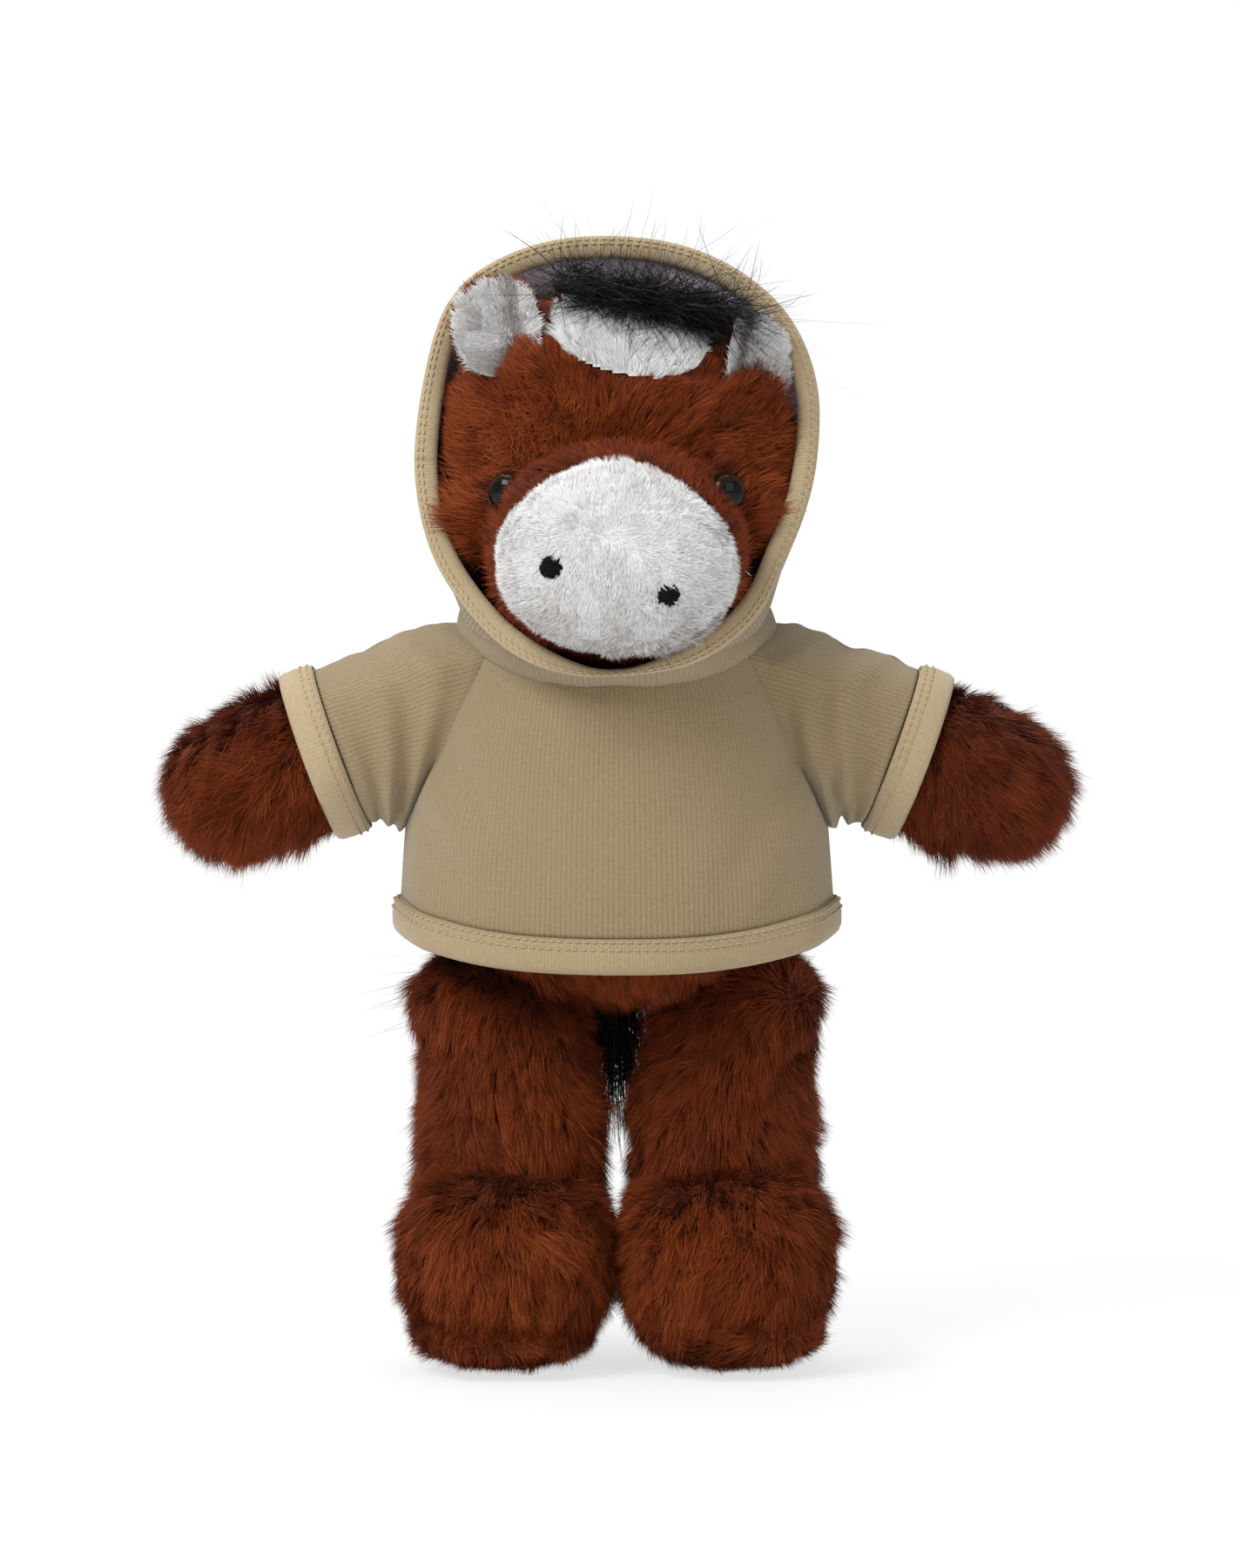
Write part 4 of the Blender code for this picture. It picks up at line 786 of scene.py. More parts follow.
def eye_pieces():
    """Safety eyes seated square on the head's surface: a shank, a rim and a dome."""
    angles = [step / EYE_DOME * math.pi / 2 for step in range(1, EYE_DOME + 1)]
    rows = np.array(EYE_BASE + [(EYE_RADIUS * math.cos(a) ** 0.9, 0.0013 + 0.0038 * math.sin(a)) for a in angles])
    around = 48
    spin = round_turns(around)
    points = np.stack([rows[:, :1] * np.cos(spin), rows[:, :1] * np.sin(spin), np.repeat(rows[:, 1:], around, 1)], -1)
    faces = grid_faces(len(rows), around)
    finish = np.repeat([int(radius > 0.0036 or row < 6) for row, radius in enumerate(rows[:-1, 0])], around)
    for side, sign in SIDES.items():
        across, rise = sign * EYE_ACROSS, EYE_HEIGHT - HEAD[2]
        share = 1 - abs(across / HEAD_HALF[0]) ** HEAD_POWER - abs(rise / HEAD_HALF[2]) ** HEAD_POWER
        seat = np.array((across, MIDDLE - HEAD_HALF[1] * share ** (1 / HEAD_POWER), EYE_HEIGHT))
        local = seat - HEAD
        slope = np.sign(local) * (np.abs(local) / HEAD_HALF) ** (HEAD_POWER - 1) / HEAD_HALF
        turn = np.array(Vector(slope).to_track_quat("Z", "Y").to_matrix())
        mesh = make_mesh("eye", points.reshape(-1, 3) @ turn.T + seat, faces, None, [PUPIL, IRIS], finish)
        shape = bmesh.new()
        shape.from_mesh(mesh)
        bmesh.ops.remove_doubles(shape, verts=shape.verts, dist=0.00001)
        shape.to_mesh(mesh)
        shape.free()
        finish_piece(in_scene(f"safety_eye_{side}", mesh), "head", "eye_plastic", f"eye_{side}")
        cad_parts[f"eye_washer_{side}"].material_slots[0].material = WASHER


BLAZE = np.array((0.0031, MIDDLE - 0.046, 0.2734))
BLAZE_HALF = (0.0204, 0.0104)
BLAZE_TILT = math.radians(11)


def on_blaze(points):
    """How far points are from the blaze's middle, where 1 is its edge."""
    across, rise = points[:, 0] - BLAZE[0], points[:, 2] - BLAZE[2]
    along = across * math.cos(BLAZE_TILT) - rise * math.sin(BLAZE_TILT)
    over = across * math.sin(BLAZE_TILT) + rise * math.cos(BLAZE_TILT)
    return (np.abs(along / BLAZE_HALF[0]) ** 2.3 + np.abs(over / BLAZE_HALF[1]) ** 2.3) ** (1 / 2.3)


def blaze_piece():
    """The white patch sewn over the forehead."""
    points, tris = blob(HEAD, HEAD_HALF - 0.0034, HEAD_POWER, 240, 160)
    held = (on_blaze(points) < 0.99) & (points[:, 1] < MIDDLE)
    used, index = np.unique(tris[held[tris].all(1)], return_inverse=True)
    patch = points[used], index.reshape(-1, 3)

    def lie(roots):
        return unit((roots - BLAZE) * [1, 0, 0.6]) * 0.7 + [0.1, 0, 0.55]

    def length(roots):
        return np.interp(on_blaze(roots), (0.0, 0.6, 1.0), (0.0052, 0.0054, 0.0046))

    coat = fur(patch, DENSITY * 1.9, length, lie, 430, lift=0.60, width=0.00024, tuft=0.004, gather=0.22, mess=0.34,
               droop=0.02, tone=0.34)
    furry_piece("blaze_fur", WHITE, [patch], [coat], "head", "white_plush", "blaze")


# Each ear's place, its spin and lean in degrees, and where its crease is and how deep
EAR = {
    "right": ((-0.0300, MIDDLE - 0.0240, 0.2756), 10, 10, 0.30, 0.0112),
    "left": ((0.0346, MIDDLE - 0.0214, 0.2672), 50, 12, -0.45, 0.0042),
}
EAR_HALF = (0.0116, 0.0134)


def ear_fold(points, crease, depth):
    """How far an ear's leaf stands to the front, away from its lengthwise crease."""
    across, up = points[:, 0] / EAR_HALF[0], points[:, 2] / EAR_HALF[1]
    off = np.sqrt((across - crease - 0.10 * up) ** 2 + 0.004) / (1 + abs(crease))
    return 0.28 * depth - depth * off**1.1 * (1 - 0.35 * up)


def ear_pieces():
    for side, (place, spin, lean, crease, depth) in EAR.items():
        sign = SIDES[side]
        spin, lean = (Matrix.Rotation(sign * math.radians(a), 3, axis) for a, axis in ((spin, "Z"), (lean, "Y")))
        turn = np.array(spin @ lean)
        front = turn @ np.array((0, -1.0, 0))

        def leaf_at(stand, half):
            leaf = blob((0, stand, 0), half, 2.2, 96, 60)
            leaf[0][:, 1] += ear_fold(leaf[0], crease, depth)
            return leaf[0] @ turn.T + place, leaf[1]

        def upward(roots):
            return unit(roots - np.array(place)) * 0.5 + [-0.25, 0.1, 0.75]

        # painted shade: the lining's fur darkens strongly along the crease and a little on the leaf's larger side of
        # it
        def shade(roots):
            flat = (roots - np.array(place)) @ turn
            off = np.abs(flat[:, 0] / EAR_HALF[0] - crease - 0.10 * flat[:, 2] / EAR_HALF[1])
            inner = (flat[:, 0] / EAR_HALF[0] > crease) == (crease > 0)
            return np.where(inner, 0.05, -0.06) - 0.62 * np.exp(-((off / 0.20) ** 2))

        leaf = leaf_at(0, (EAR_HALF[0], 0.0012, EAR_HALF[1]))
        coat = fur(leaf, DENSITY, 0.0034, upward, 440 + sign, lift=0.42, tone=-0.10, droop=0.0,
                   keep=lambda _, normals: normals @ front < 0.30)
        furry_piece(f"ear_fur_{side}", BROWN, [leaf], [coat], "head", "brown_plush", f"ear_{side}")
        leaf = leaf_at(-0.0020, (EAR_HALF[0] - 0.0007, 0.0008, EAR_HALF[1] - 0.0007))
        coat = fur(leaf, DENSITY * 2.2, 0.0027, upward, 450 + sign, lift=0.46, width=0.00024, droop=0.02,
                   tuft=0.0036, gather=0.24, mess=0.36, tone=shade, keep=lambda _, normals: normals @ front > 0.15)
        furry_piece(f"ear_lining_fur_{side}", WHITE, [leaf], [coat], "head", "white_plush", f"ear_lining_{side}")


def long_hair(roots, aims, lengths, seed, gather, wild, sag, width, tuft=0.004):
    """Long strands that start along their aims and then sag and wander."""
    rng = np.random.default_rng(seed)
    count = len(roots)
    share = np.linspace(0, 1, HAIR_STATIONS)[None, :, None]
    aims = unit(aims + rng.normal(size=(count, 3)) * wild)
    bend = rng.normal(size=(count, 3)) * wild * 0.8
    paths = roots[:, None] + lengths[:, None, None] * (aims[:, None] * share + bend[:, None] * share**2 * 0.5)
    paths[..., 2] -= lengths[:, None] * sag * share[..., 0] ** 2
    centres, _ = clump_centres(roots, tuft, seed + 1)
    paths += (centres - roots)[:, None] * gather * share
    wave = rng.random((count, 3)) * 2 * np.pi
    paths += np.sin(share * 5 + wave[:, None]) * lengths[:, None, None] * 0.025 * share
    sideways = unit(np.cross(aims, rng.normal(size=(count, 3))))
    tones = np.clip(rng.normal(size=count) * 0.2 + 0.4, 0, 0.995)
    return ribbons(paths, np.full(count, width), sideways, tones)


FORELOCK_PLACES = (-0.0145, -0.004, 0.007, 0.019, 0.030, 0.040)
FORELOCK_HEIGHTS = (0.2890, 0.2846, 0.2822, 0.2803, 0.2798, 0.2800)


def forelock_line(across):
    """How high the forelock's middle line is, falling to the toy's left."""
    return np.interp(across, FORELOCK_PLACES, FORELOCK_HEIGHTS)


def forelock_piece():
    rng = np.random.default_rng(600)
    count, stray = 3600, 300
    across = rng.triangular(-0.018, 0.010, 0.036, count)
    offset = rng.normal(size=(count, 2)) * [0.0030, 0.0021]
    roots = np.stack([across, MIDDLE - 0.0262 + offset[:, 0], forelock_line(across) + offset[:, 1]], 1)
    way = np.where(rng.random(count) < 0.66, 1.0, -0.8)
    forward = -0.30 + rng.normal(size=count) * 0.25
    aims = np.stack([way, forward, -0.20 * way + rng.normal(size=count) * 0.34 - 0.02], 1)
    lengths = 0.008 + 0.012 * rng.random(count) ** 1.5
    mass = long_hair(roots, aims, lengths, 601, gather=0.50, tuft=0.0045, sag=0.06, wild=0.50, width=0.00021)
    pick = rng.choice(count, stray)
    sideways = np.where(roots[pick, 0] > 0.004, 0.9, -0.5) + rng.normal(size=stray) * 0.5
    forward = rng.normal(size=stray) * 0.25 - 0.35
    aims = np.stack([sideways, forward, rng.normal(size=stray) * 0.42 + 0.20], 1)
    lengths = 0.015 + 0.017 * rng.random(stray) ** 1.6
    loose = long_hair(roots[pick], aims, lengths, 602, gather=0.0, sag=0.05, wild=0.45, width=0.00013)
    parts = [blob((step, MIDDLE - 0.0250, forelock_line(step) - 0.0006), (0.0058, 0.0042, 0.0026), 2.0, 24, 12)
             for step in np.linspace(-0.011, 0.027, 7)]
    furry_piece("forelock_hair", BLACK, parts, [mass, loose], "head", "black_hair", "forelock")


def tail_piece():
    rng = np.random.default_rng(700)
    count, stray = 1500, 60
    roots = TAIL_ROOT + rng.normal(size=(count, 3)) * [0.0024, 0.0018, 0.002]
    aims = np.stack([rng.normal(size=count) * 0.30 - 0.12, np.full(count, 0.26), np.full(count, -0.88)], 1)
    lengths = 0.036 + 0.018 * rng.random(count)
    mass = long_hair(roots, aims, lengths, 701, gather=0.3, sag=0.10, wild=0.10, width=0.00026)
    sideways, backward = -1 + rng.normal(size=stray) * 0.12, rng.random(stray) * 0.2
    aims = np.stack([sideways, backward, rng.normal(size=stray) * 0.1 - 0.12], 1)
    lengths = 0.058 + 0.012 * rng.random(stray)
    loose = long_hair(roots[:stray], aims, lengths, 702, gather=0.0, sag=0.05, wild=0.05, width=0.00018)
    core = blob(TAIL_ROOT + [0, 0.002, -0.006], (0.0034, 0.0030, 0.0080), 2.0, 24, 16)
    furry_piece("tail_hair", BLACK, [core], [mass, loose], "tail", "black_hair", "tail")


# Cloth
CLOTH = 0.0011
BAND_CLOTH = 0.0008
STITCH = 0.0023
STITCH_RADIUS = 0.00022
STITCH_LIFT = 0.00028


def cloth_mesh(name, points, faces, coords, material, thickness=CLOTH, planes=()):
    """A closed sheet: a face of cloth, cut away beyond each plane, then given its thickness on the inside."""
    mesh = make_mesh(name, points, faces, coords, [material], layer="Cloth")
    shape = bmesh.new()
    shape.from_mesh(mesh)
    for point, normal in planes:
        everything = shape.verts[:] + shape.edges[:] + shape.faces[:]
        bmesh.ops.bisect_plane(shape, geom=everything, dist=1e-6, plane_co=point, plane_no=normal, clear_outer=True)
    loose = [vert for vert in shape.verts if not vert.link_faces]
    bmesh.ops.delete(shape, geom=loose, context="VERTS")
    bmesh.ops.recalc_face_normals(shape, faces=shape.faces)
    bmesh.ops.solidify(shape, geom=shape.faces[:], thickness=thickness)
    shape.to_mesh(mesh)
    shape.free()
    mesh.shade_smooth()
    return mesh


def grid_mesh(name, points, across, along, material, closed=True, **sheet):
    """A sheet from a grid of points, with its coordinates along the rows and the columns."""
    rows, columns = points.shape[:2]
    coords = np.stack([np.broadcast_to(across, (rows, columns)), np.broadcast_to(along, (rows, columns))], -1)
    faces = grid_faces(rows, columns, closed)
    return cloth_mesh(name, points.reshape(-1, 3), faces, coords.reshape(-1, 2), material, **sheet)


def run_along(path):
    """The distance along a path at each of its points."""
    return np.concatenate([[0], np.cumsum(np.linalg.norm(np.diff(path, axis=0), axis=1))])


def on_curve(at, places, path):
    return np.stack([np.interp(at, places, path[:, axis]) for axis in range(3)], -1)


SHIRT_HEIGHTS = (0.094, 0.1055, 0.125, 0.147, 0.165, 0.178, 0.184, 0.190, 0.199)
SHIRT_WIDTHS = (0.0598, 0.0590, 0.0578, 0.0562, 0.0532, 0.0497, 0.0472, 0.0446, 0.0415)
SHIRT_DEPTHS = (0.0452, 0.0450, 0.0446, 0.0438, 0.0424, 0.0402, 0.0386, 0.0374, 0.0360)
SHIRT_POWER = 2.1
# Each fold's middle (x, z), its direction (x, z), its width and its height
SHIRT_FOLDS = [
    (-0.046, 0.150, 0.55, -0.83, 0.0040, 0.0014),
    (-0.040, 0.158, 0.60, -0.80, 0.0040, -0.0010),
    (0.046, 0.146, -0.45, -0.89, 0.0042, 0.0014),
    (0.041, 0.154, -0.50, -0.86, 0.0040, -0.0009),
    (-0.050, 0.125, 0.10, -1.0, 0.0045, 0.0010),
    (0.050, 0.122, -0.10, -1.0, 0.0045, 0.0012),
    (0.020, 0.120, -0.2, -0.98, 0.0080, 0.0007),
    (-0.018, 0.124, 0.25, -0.96, 0.0080, -0.0006),
]


def shirt_radius(turn, height):
    """How far the shirt is from its middle, as (x, y), at a turn (0 at the toy's left, front at -90 degrees)."""
    wide = np.interp(height, SHIRT_HEIGHTS, SHIRT_WIDTHS)
    deep = np.interp(height, SHIRT_HEIGHTS, SHIRT_DEPTHS)
    c, s = np.cos(turn), np.sin(turn)
    reach = (np.abs(c) ** SHIRT_POWER + np.abs(s) ** SHIRT_POWER) ** (-1 / SHIRT_POWER)
    return c * reach * wide, s * reach * deep


def shirt_folds(x, y, z):
    """How far the shirt's cloth stands out in its soft folds."""
    total = np.zeros_like(x)
    for px, pz, dx, dz, size, tall in SHIRT_FOLDS:
        along = (x - px) * dx + (z - pz) * dz
        across = (x - px) * -dz + (z - pz) * dx
        total += np.where(y < MIDDLE, tall * np.exp(-(across / size) ** 2 - (along / (size * 5)) ** 2), 0)
    total += 0.0007 * np.sin(x * 130 + 1.3) * clamp((0.150 - z) / 0.05)
    total += np.where(y > MIDDLE, 0.0012 * np.sin(x * 95 + z * 40) * clamp((0.17 - z) / 0.06), 0)
    return total


NECKLINE_TURNS = np.radians((-180, -150, -125, -115, -100, -90, -80, -65, -55, -30, 0, 30, 60, 90, 120, 150, 180))
NECKLINE_HEIGHTS = (
    0.1985, 0.1935, 0.1868, 0.1850, 0.1836, 0.1842, 0.1836, 0.1850, 0.1868, 0.1935, 0.1985, 0.1960, 0.1930, 0.1925,
    0.1930, 0.1960, 0.1985,
)


def hem_height(x):
    return 0.1076 + 0.0084 * clamp(np.abs(x) / 0.0588) ** 3


RAGLAN_LOW = (0.055, 0.147)
RAGLAN_HIGH = (0.0355, 0.188)
RAGLAN_SLOPE = (RAGLAN_HIGH[0] - RAGLAN_LOW[0]) / (RAGLAN_HIGH[1] - RAGLAN_LOW[1])
ARMPIT = 0.1441


def raglan_plane(sign):
    """A point on a side's raglan seams' plane and its normal, pointing out to that side."""
    run = Vector((RAGLAN_HIGH[0] - RAGLAN_LOW[0], 0, RAGLAN_HIGH[1] - RAGLAN_LOW[1])).normalized()
    return Vector((sign * RAGLAN_LOW[0], 0, RAGLAN_LOW[1])), Vector((sign * run.z, 0, -run.x))


def shirt_surface(low, high=None, rows=60, extra=0.0):
    """The shirt's body as a grid of points and its turns, between the hem line plus an offset and the neckline."""
    turn = np.linspace(-np.pi, np.pi, 180, endpoint=False)
    hem = hem_height(shirt_radius(turn, 0.11)[0])
    top = np.interp(turn, NECKLINE_TURNS, NECKLINE_HEIGHTS) if high is None else hem + high
    height = hem + low + (top - (hem + low)) * np.linspace(0, 1, rows)[:, None]
    x, y = shirt_radius(turn[None, :], height)
    out = unit(np.stack([x, y * 1.3, np.zeros_like(x)], -1))
    swell = shirt_folds(x, y + MIDDLE, height) + extra
    return np.stack([x, y + MIDDLE, height], -1) + out * swell[..., None], turn, height


def stitches_along(path, outward):
    """A row of small thread stitches that follow a path and bow outward from the cloth."""
    run = run_along(path)
    count = max(2, int(run[-1] / STITCH))
    bow = STITCH_LIFT * (1 - np.linspace(-1, 1, 5) ** 2 * 0.9)
    shapes = []
    for k in range(count):
        middle = (k + 0.5) / count * run[-1]
        at = np.linspace(middle - STITCH * 0.36, middle + STITCH * 0.36, 5)
        local = on_curve(at, run, path) + on_curve(middle, run, outward) * bow[:, None]
        shapes.append(tube_along(local, STITCH_RADIUS * np.array([0.35, 1, 1, 1, 0.35]), 5))
    return shapes


def stitched(mesh, paths, outward_of):
    """Adds rows of stitches to a cloth mesh as a second material."""
    shapes = [stitch for path in paths for stitch in stitches_along(path, outward_of(path))]
    thread = make_mesh("thread", *merge_polygons(shapes), None, [])
    shape = bmesh.new()
    shape.from_mesh(mesh)
    before = len(shape.faces)
    shape.from_mesh(thread)
    shape.faces.ensure_lookup_table()
    for face in shape.faces[before:]:
        face.material_index = len(mesh.materials)
    mesh.materials.append(THREAD)
    shape.to_mesh(mesh)
    shape.free()
    return mesh


def around_middle(path):
    out = path - [0, MIDDLE, 0]
    out[:, 2] = 0
    return unit(out)


def shirt_pieces():
    points, turn, height = shirt_surface(0.0093)
    planes = [raglan_plane(sign) for sign in (-1, 1)]
    for name, way in (("front", 1), ("back", -1)):
        cut = planes + [(Vector((0, MIDDLE, 0)), Vector((0, way, 0)))]
        piece = in_scene(f"shirt_{name}_panel", grid_mesh(name, points, turn * 0.052, height, JERSEY, planes=cut))
        finish_piece(piece, "torso", "tan_jersey", f"shirt_{name}")


def folded_band(name, ring_at, profile, rows, outward_of, material=None):
    """A strip of cloth folded double, from the rings round its fold, with its rows of stitches."""
    rings = np.array([ring_at(*place) for place in profile])
    width = np.concatenate([[0], np.cumsum(np.linalg.norm(np.diff(rings, axis=0), axis=2).mean(1))])
    mesh = grid_mesh(name, rings, run_along(rings[0]), width[:, None], material or BAND, thickness=BAND_CLOTH)
    paths = [ring_at(*place) for place in rows]
    return in_scene(name, stitched(mesh, [np.vstack([path, path[:1]]) for path in paths], outward_of))


def hem_piece():
    """The folded hem, its fold at the bottom."""
    def ring_at(offset, stand):
        return shirt_surface(offset, offset + 1e-6, rows=2, extra=stand)[0][0]

    profile = [(0.0093, 0.0010), (0.0080, 0.0017), (0.005, 0.0020), (0.002, 0.0018), (0.0006, 0.0012), (0.0, 0.0005),
               (0.0006, -0.0002), (0.002, -0.0005), (0.005, -0.0006), (0.0093, -0.0005)]
    rows = [(0.0066, 0.0019), (0.0086, 0.0016)]
    # the hem takes the darker copy of the band cloth, painted shade
    piece = folded_band("shirt_hem_band", ring_at, profile, rows, around_middle, HEM_BAND_PAINTED_SHADE)
    finish_piece(piece, "torso", "tan_jersey", "shirt_hem")


def raglan_half(way):
    """Half of a sleeve's first ring, from the shoulder to the armpit, by the front (-1) or the back (1)."""
    points = []
    for degrees in np.arange(0, 60, 2.0):
        turn = math.radians(degrees * way)
        height = float(np.interp(turn, NECKLINE_TURNS, NECKLINE_HEIGHTS))
        x, y = shirt_radius(turn, height)
        if x < RAGLAN_LOW[0] + RAGLAN_SLOPE * (height - RAGLAN_LOW[1]):
            break
        points.append((x, abs(y), height))
    heights = np.linspace(points[-1][2], ARMPIT, 18)[1:]
    plane_x = RAGLAN_LOW[0] + RAGLAN_SLOPE * (heights - RAGLAN_LOW[1])
    wide = np.interp(heights, SHIRT_HEIGHTS, SHIRT_WIDTHS)
    deep = np.interp(heights, SHIRT_HEIGHTS, SHIRT_DEPTHS)
    reach = deep * np.maximum(0, 1 - (plane_x / wide) ** SHIRT_POWER) ** (1 / SHIRT_POWER)
    return np.vstack([points, np.stack([plane_x, reach, heights], 1)]) * [1, way, 1]


def raglan_loop(side, count):
    """The sleeve's first ring, counted round its own axis from the top, by way of the front, and back."""
    front, back = raglan_half(-1), raglan_half(1)
    back[-1] = front[-1]
    front_turns, back_turns = (run_along(half) / run_along(half)[-1] * np.pi for half in (front, back))
    turns = np.concatenate([front_turns, (2 * np.pi - back_turns)[::-1][1:]])
    loop = np.vstack([front, back[::-1][1:]])
    return on_curve(round_turns(count), turns, loop) * [SIDES[side], 1, 1] + [0, MIDDLE, 0]


def cuff_ring(side, along, radius, count):
    root, axis, up, front = arm_frame(side)
    at = round_turns(count)
    return root + axis * along + radius * (np.cos(at)[:, None] * up + np.sin(at)[:, None] * front)


SLEEVE_ROWS, SLEEVE_COLUMNS = 40, 120


def sleeve_points(side, start, end, axis):
    """The sleeve's cloth on smooth curves from its first ring to the cuff, with its folds and creases."""
    sign = SIDES[side]
    gap = np.linalg.norm(end - start, axis=1, keepdims=True)
    share = np.linspace(0, 1, SLEEVE_ROWS)[:, None, None]
    out = unit(axis * 0.8 + unit(start - start.mean(0)) * 0.25)
    h00, h10 = 2 * share**3 - 3 * share**2 + 1, share**3 - 2 * share**2 + share
    h01, h11 = -2 * share**3 + 3 * share**2, share**3 - share**2
    points = h00 * start + h10 * out * gap * 0.9 + h01 * end + h11 * axis * gap * 0.9
    outward = unit(points - points.mean(1, keepdims=True))
    at = round_turns(SLEEVE_COLUMNS)[None, :, None]
    fade = np.sin(share * np.pi) ** 0.7
    wave = np.sin(share * 19 + np.sin(at + 0.5 * sign) * 1.6 + at * 0.7)
    lower = 0.30 + 0.70 * np.sin(at / 2 + 0.2) ** 2 * (1 - 0.55 * np.exp(-((at - np.pi) / 0.5) ** 2))
    crease = np.sin(at * 2.0 - sign * 0.4 + share * (7 + 3 * sign)) ** 3
    return points + outward * fade * (wave * lower * 0.0014 + crease * 0.0013)


def sleeve_pieces():
    at = round_turns(SLEEVE_COLUMNS)[:, None]
    wobble = 0.0004 * np.sin(at * 4 + 1) + 0.0005 * np.sin(at * 2)
    for side, sign in SIDES.items():
        root, axis, _, _ = arm_frame(side)
        start = raglan_loop(side, SLEEVE_COLUMNS)
        start = start - unit(start - [0, MIDDLE, 0.170]) * 0.0006 - [sign * 0.0008, 0, 0]
        end = cuff_ring(side, 0.0375, 0.0218, SLEEVE_COLUMNS)
        points = sleeve_points(side, start, end, axis)
        across = np.arange(SLEEVE_COLUMNS) * (np.linalg.norm(np.diff(end, axis=0), axis=1).sum() / SLEEVE_COLUMNS)
        along = np.linspace(0, 1, SLEEVE_ROWS)[:, None] * 0.036
        piece = in_scene(f"sleeve_cloth_{side}", grid_mesh("sleeve", points, across, along, JERSEY))
        finish_piece(piece, None, "tan_jersey", f"sleeve_{side}")
        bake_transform(piece)

        def ring_at(along, radius):
            ring = cuff_ring(side, along, radius, SLEEVE_COLUMNS)
            return ring + unit(ring - ring.mean(0)) * wobble

        def from_arm(path):
            away = path - root
            return unit(away - (away @ axis)[:, None] * axis)

        profile = [(0.0378, 0.0226), (0.039, 0.0231), (0.0425, 0.0234), (0.046, 0.0232), (0.0471, 0.0226),
                   (0.0474, 0.0220), (0.0470, 0.0214), (0.046, 0.0211), (0.042, 0.0209), (0.0378, 0.0208)]
        rows = [(0.0392, 0.0231), (0.0411, 0.0233)]
        cuff = folded_band(f"sleeve_cuff_band_{side}", ring_at, profile, rows, from_arm)
        finish_piece(cuff, f"arm_{side}", "tan_jersey", f"sleeve_cuff_{side}")


# Hood
# The hood's outline and its opening, as (degrees round the face, reach)
HOOD_ROWS = (
    (-180, 0.0527), (-167, 0.0527), (-154, 0.0542), (-144, 0.0549), (-136, 0.0580), (-128, 0.0608), (-120, 0.0622),
    (-110, 0.0612), (-100, 0.0592), (-91, 0.0570), (-80, 0.0592), (-70, 0.0612), (-60, 0.0618), (-50, 0.0592),
    (-43, 0.0566), (-30, 0.0523), (-13, 0.0516), (1, 0.0531), (18, 0.0574), (26, 0.0593), (40, 0.0610), (52, 0.0607),
    (62, 0.0606), (74, 0.0609), (91, 0.0595), (107, 0.0608), (123, 0.0626), (133, 0.0619), (143, 0.0590),
    (161, 0.0541), (180, 0.0527),
)
OPENING_ROWS = (
    (-180, 0.0471), (-166, 0.0471), (-150, 0.0483), (-138, 0.0486), (-124, 0.0503), (-107, 0.0521), (-92, 0.0546),
    (-77, 0.0519), (-61, 0.0499), (-46, 0.0486), (-32, 0.0450), (-15, 0.0450), (6, 0.0472), (20, 0.0506),
    (40, 0.0540), (60, 0.0543), (90, 0.0537), (118, 0.0562), (133, 0.0567), (143, 0.0537), (151, 0.0504),
    (167, 0.0474), (180, 0.0471),
)


def round_face(turn, rows):
    """The reach at a turn round the face, on a smooth curve through rows of (degrees, reach)."""
    places, reaches = np.radians([row[0] for row in rows]), [row[1] for row in rows]
    shifts = (-0.12, -0.06, 0, 0.06, 0.12)
    return sum(np.interp((turn + shift + np.pi) % (2 * np.pi) - np.pi, places, reaches) for shift in shifts) / 5


def on_face(turn, reach):
    return reach * np.cos(turn) + HOOD_MIDDLE[0], reach * np.sin(turn) + HOOD_MIDDLE[1]


def rim_reach(x, z):
    """How far the hood's opening is along Y, leaning back at the top and forward at the chin."""
    rise = z - HOOD_MIDDLE[1]
    return MIDDLE - RIM_AHEAD + RIM_LEAN * rise - 0.010 * clamp(-rise / 0.055) ** 4


def fleece_swell(turn, share):
    """How far the soft lining swells in behind the rim, most at the upper left of the toy."""
    degrees = np.degrees(turn)
    places = (-180, 0, 12, 28, 48, 66, 90, 112, 130, 150, 180)
    amounts = (0.001, 0.001, 0.004, 0.0115, 0.0125, 0.0115, 0.0105, 0.0090, 0.0030, 0.001, 0.001)
    amount = np.interp(degrees, places, amounts)
    return amount * np.interp(share, (0, 0.02, 0.06, 0.12, 0.20, 0.32), (0.0, 0.45, 0.9, 1.0, 0.7, 0.0))


def hood_points(turn, share, draw_in):
    """The hood's cloth at turns round the face and shares of the way to its back."""
    edge, outline = round_face(turn, OPENING_ROWS) + 0.0048, round_face(turn, HOOD_ROWS)
    flare = 1 - (1 - clamp(share / 0.16)) ** 2
    x, z = on_face(turn, edge + (outline - edge) * flare)
    close, deep = np.cos(share * np.pi / 2) ** (2 / 2.5), np.sin(share * np.pi / 2) ** (2 / 2.5)
    shrink = (1 - draw_in / 0.055) * close
    back = MIDDLE - RIM_AHEAD + 0.077 - draw_in
    height = HOOD_MIDDLE[1] - 0.004 * deep + (z - HOOD_MIDDLE[1]) * shrink
    return np.stack([x * shrink, rim_reach(x, z) * (1 - deep) + back * deep, height], -1)


COLLAR_TOP = 0.2022
COLLAR_LEAN = 0.30


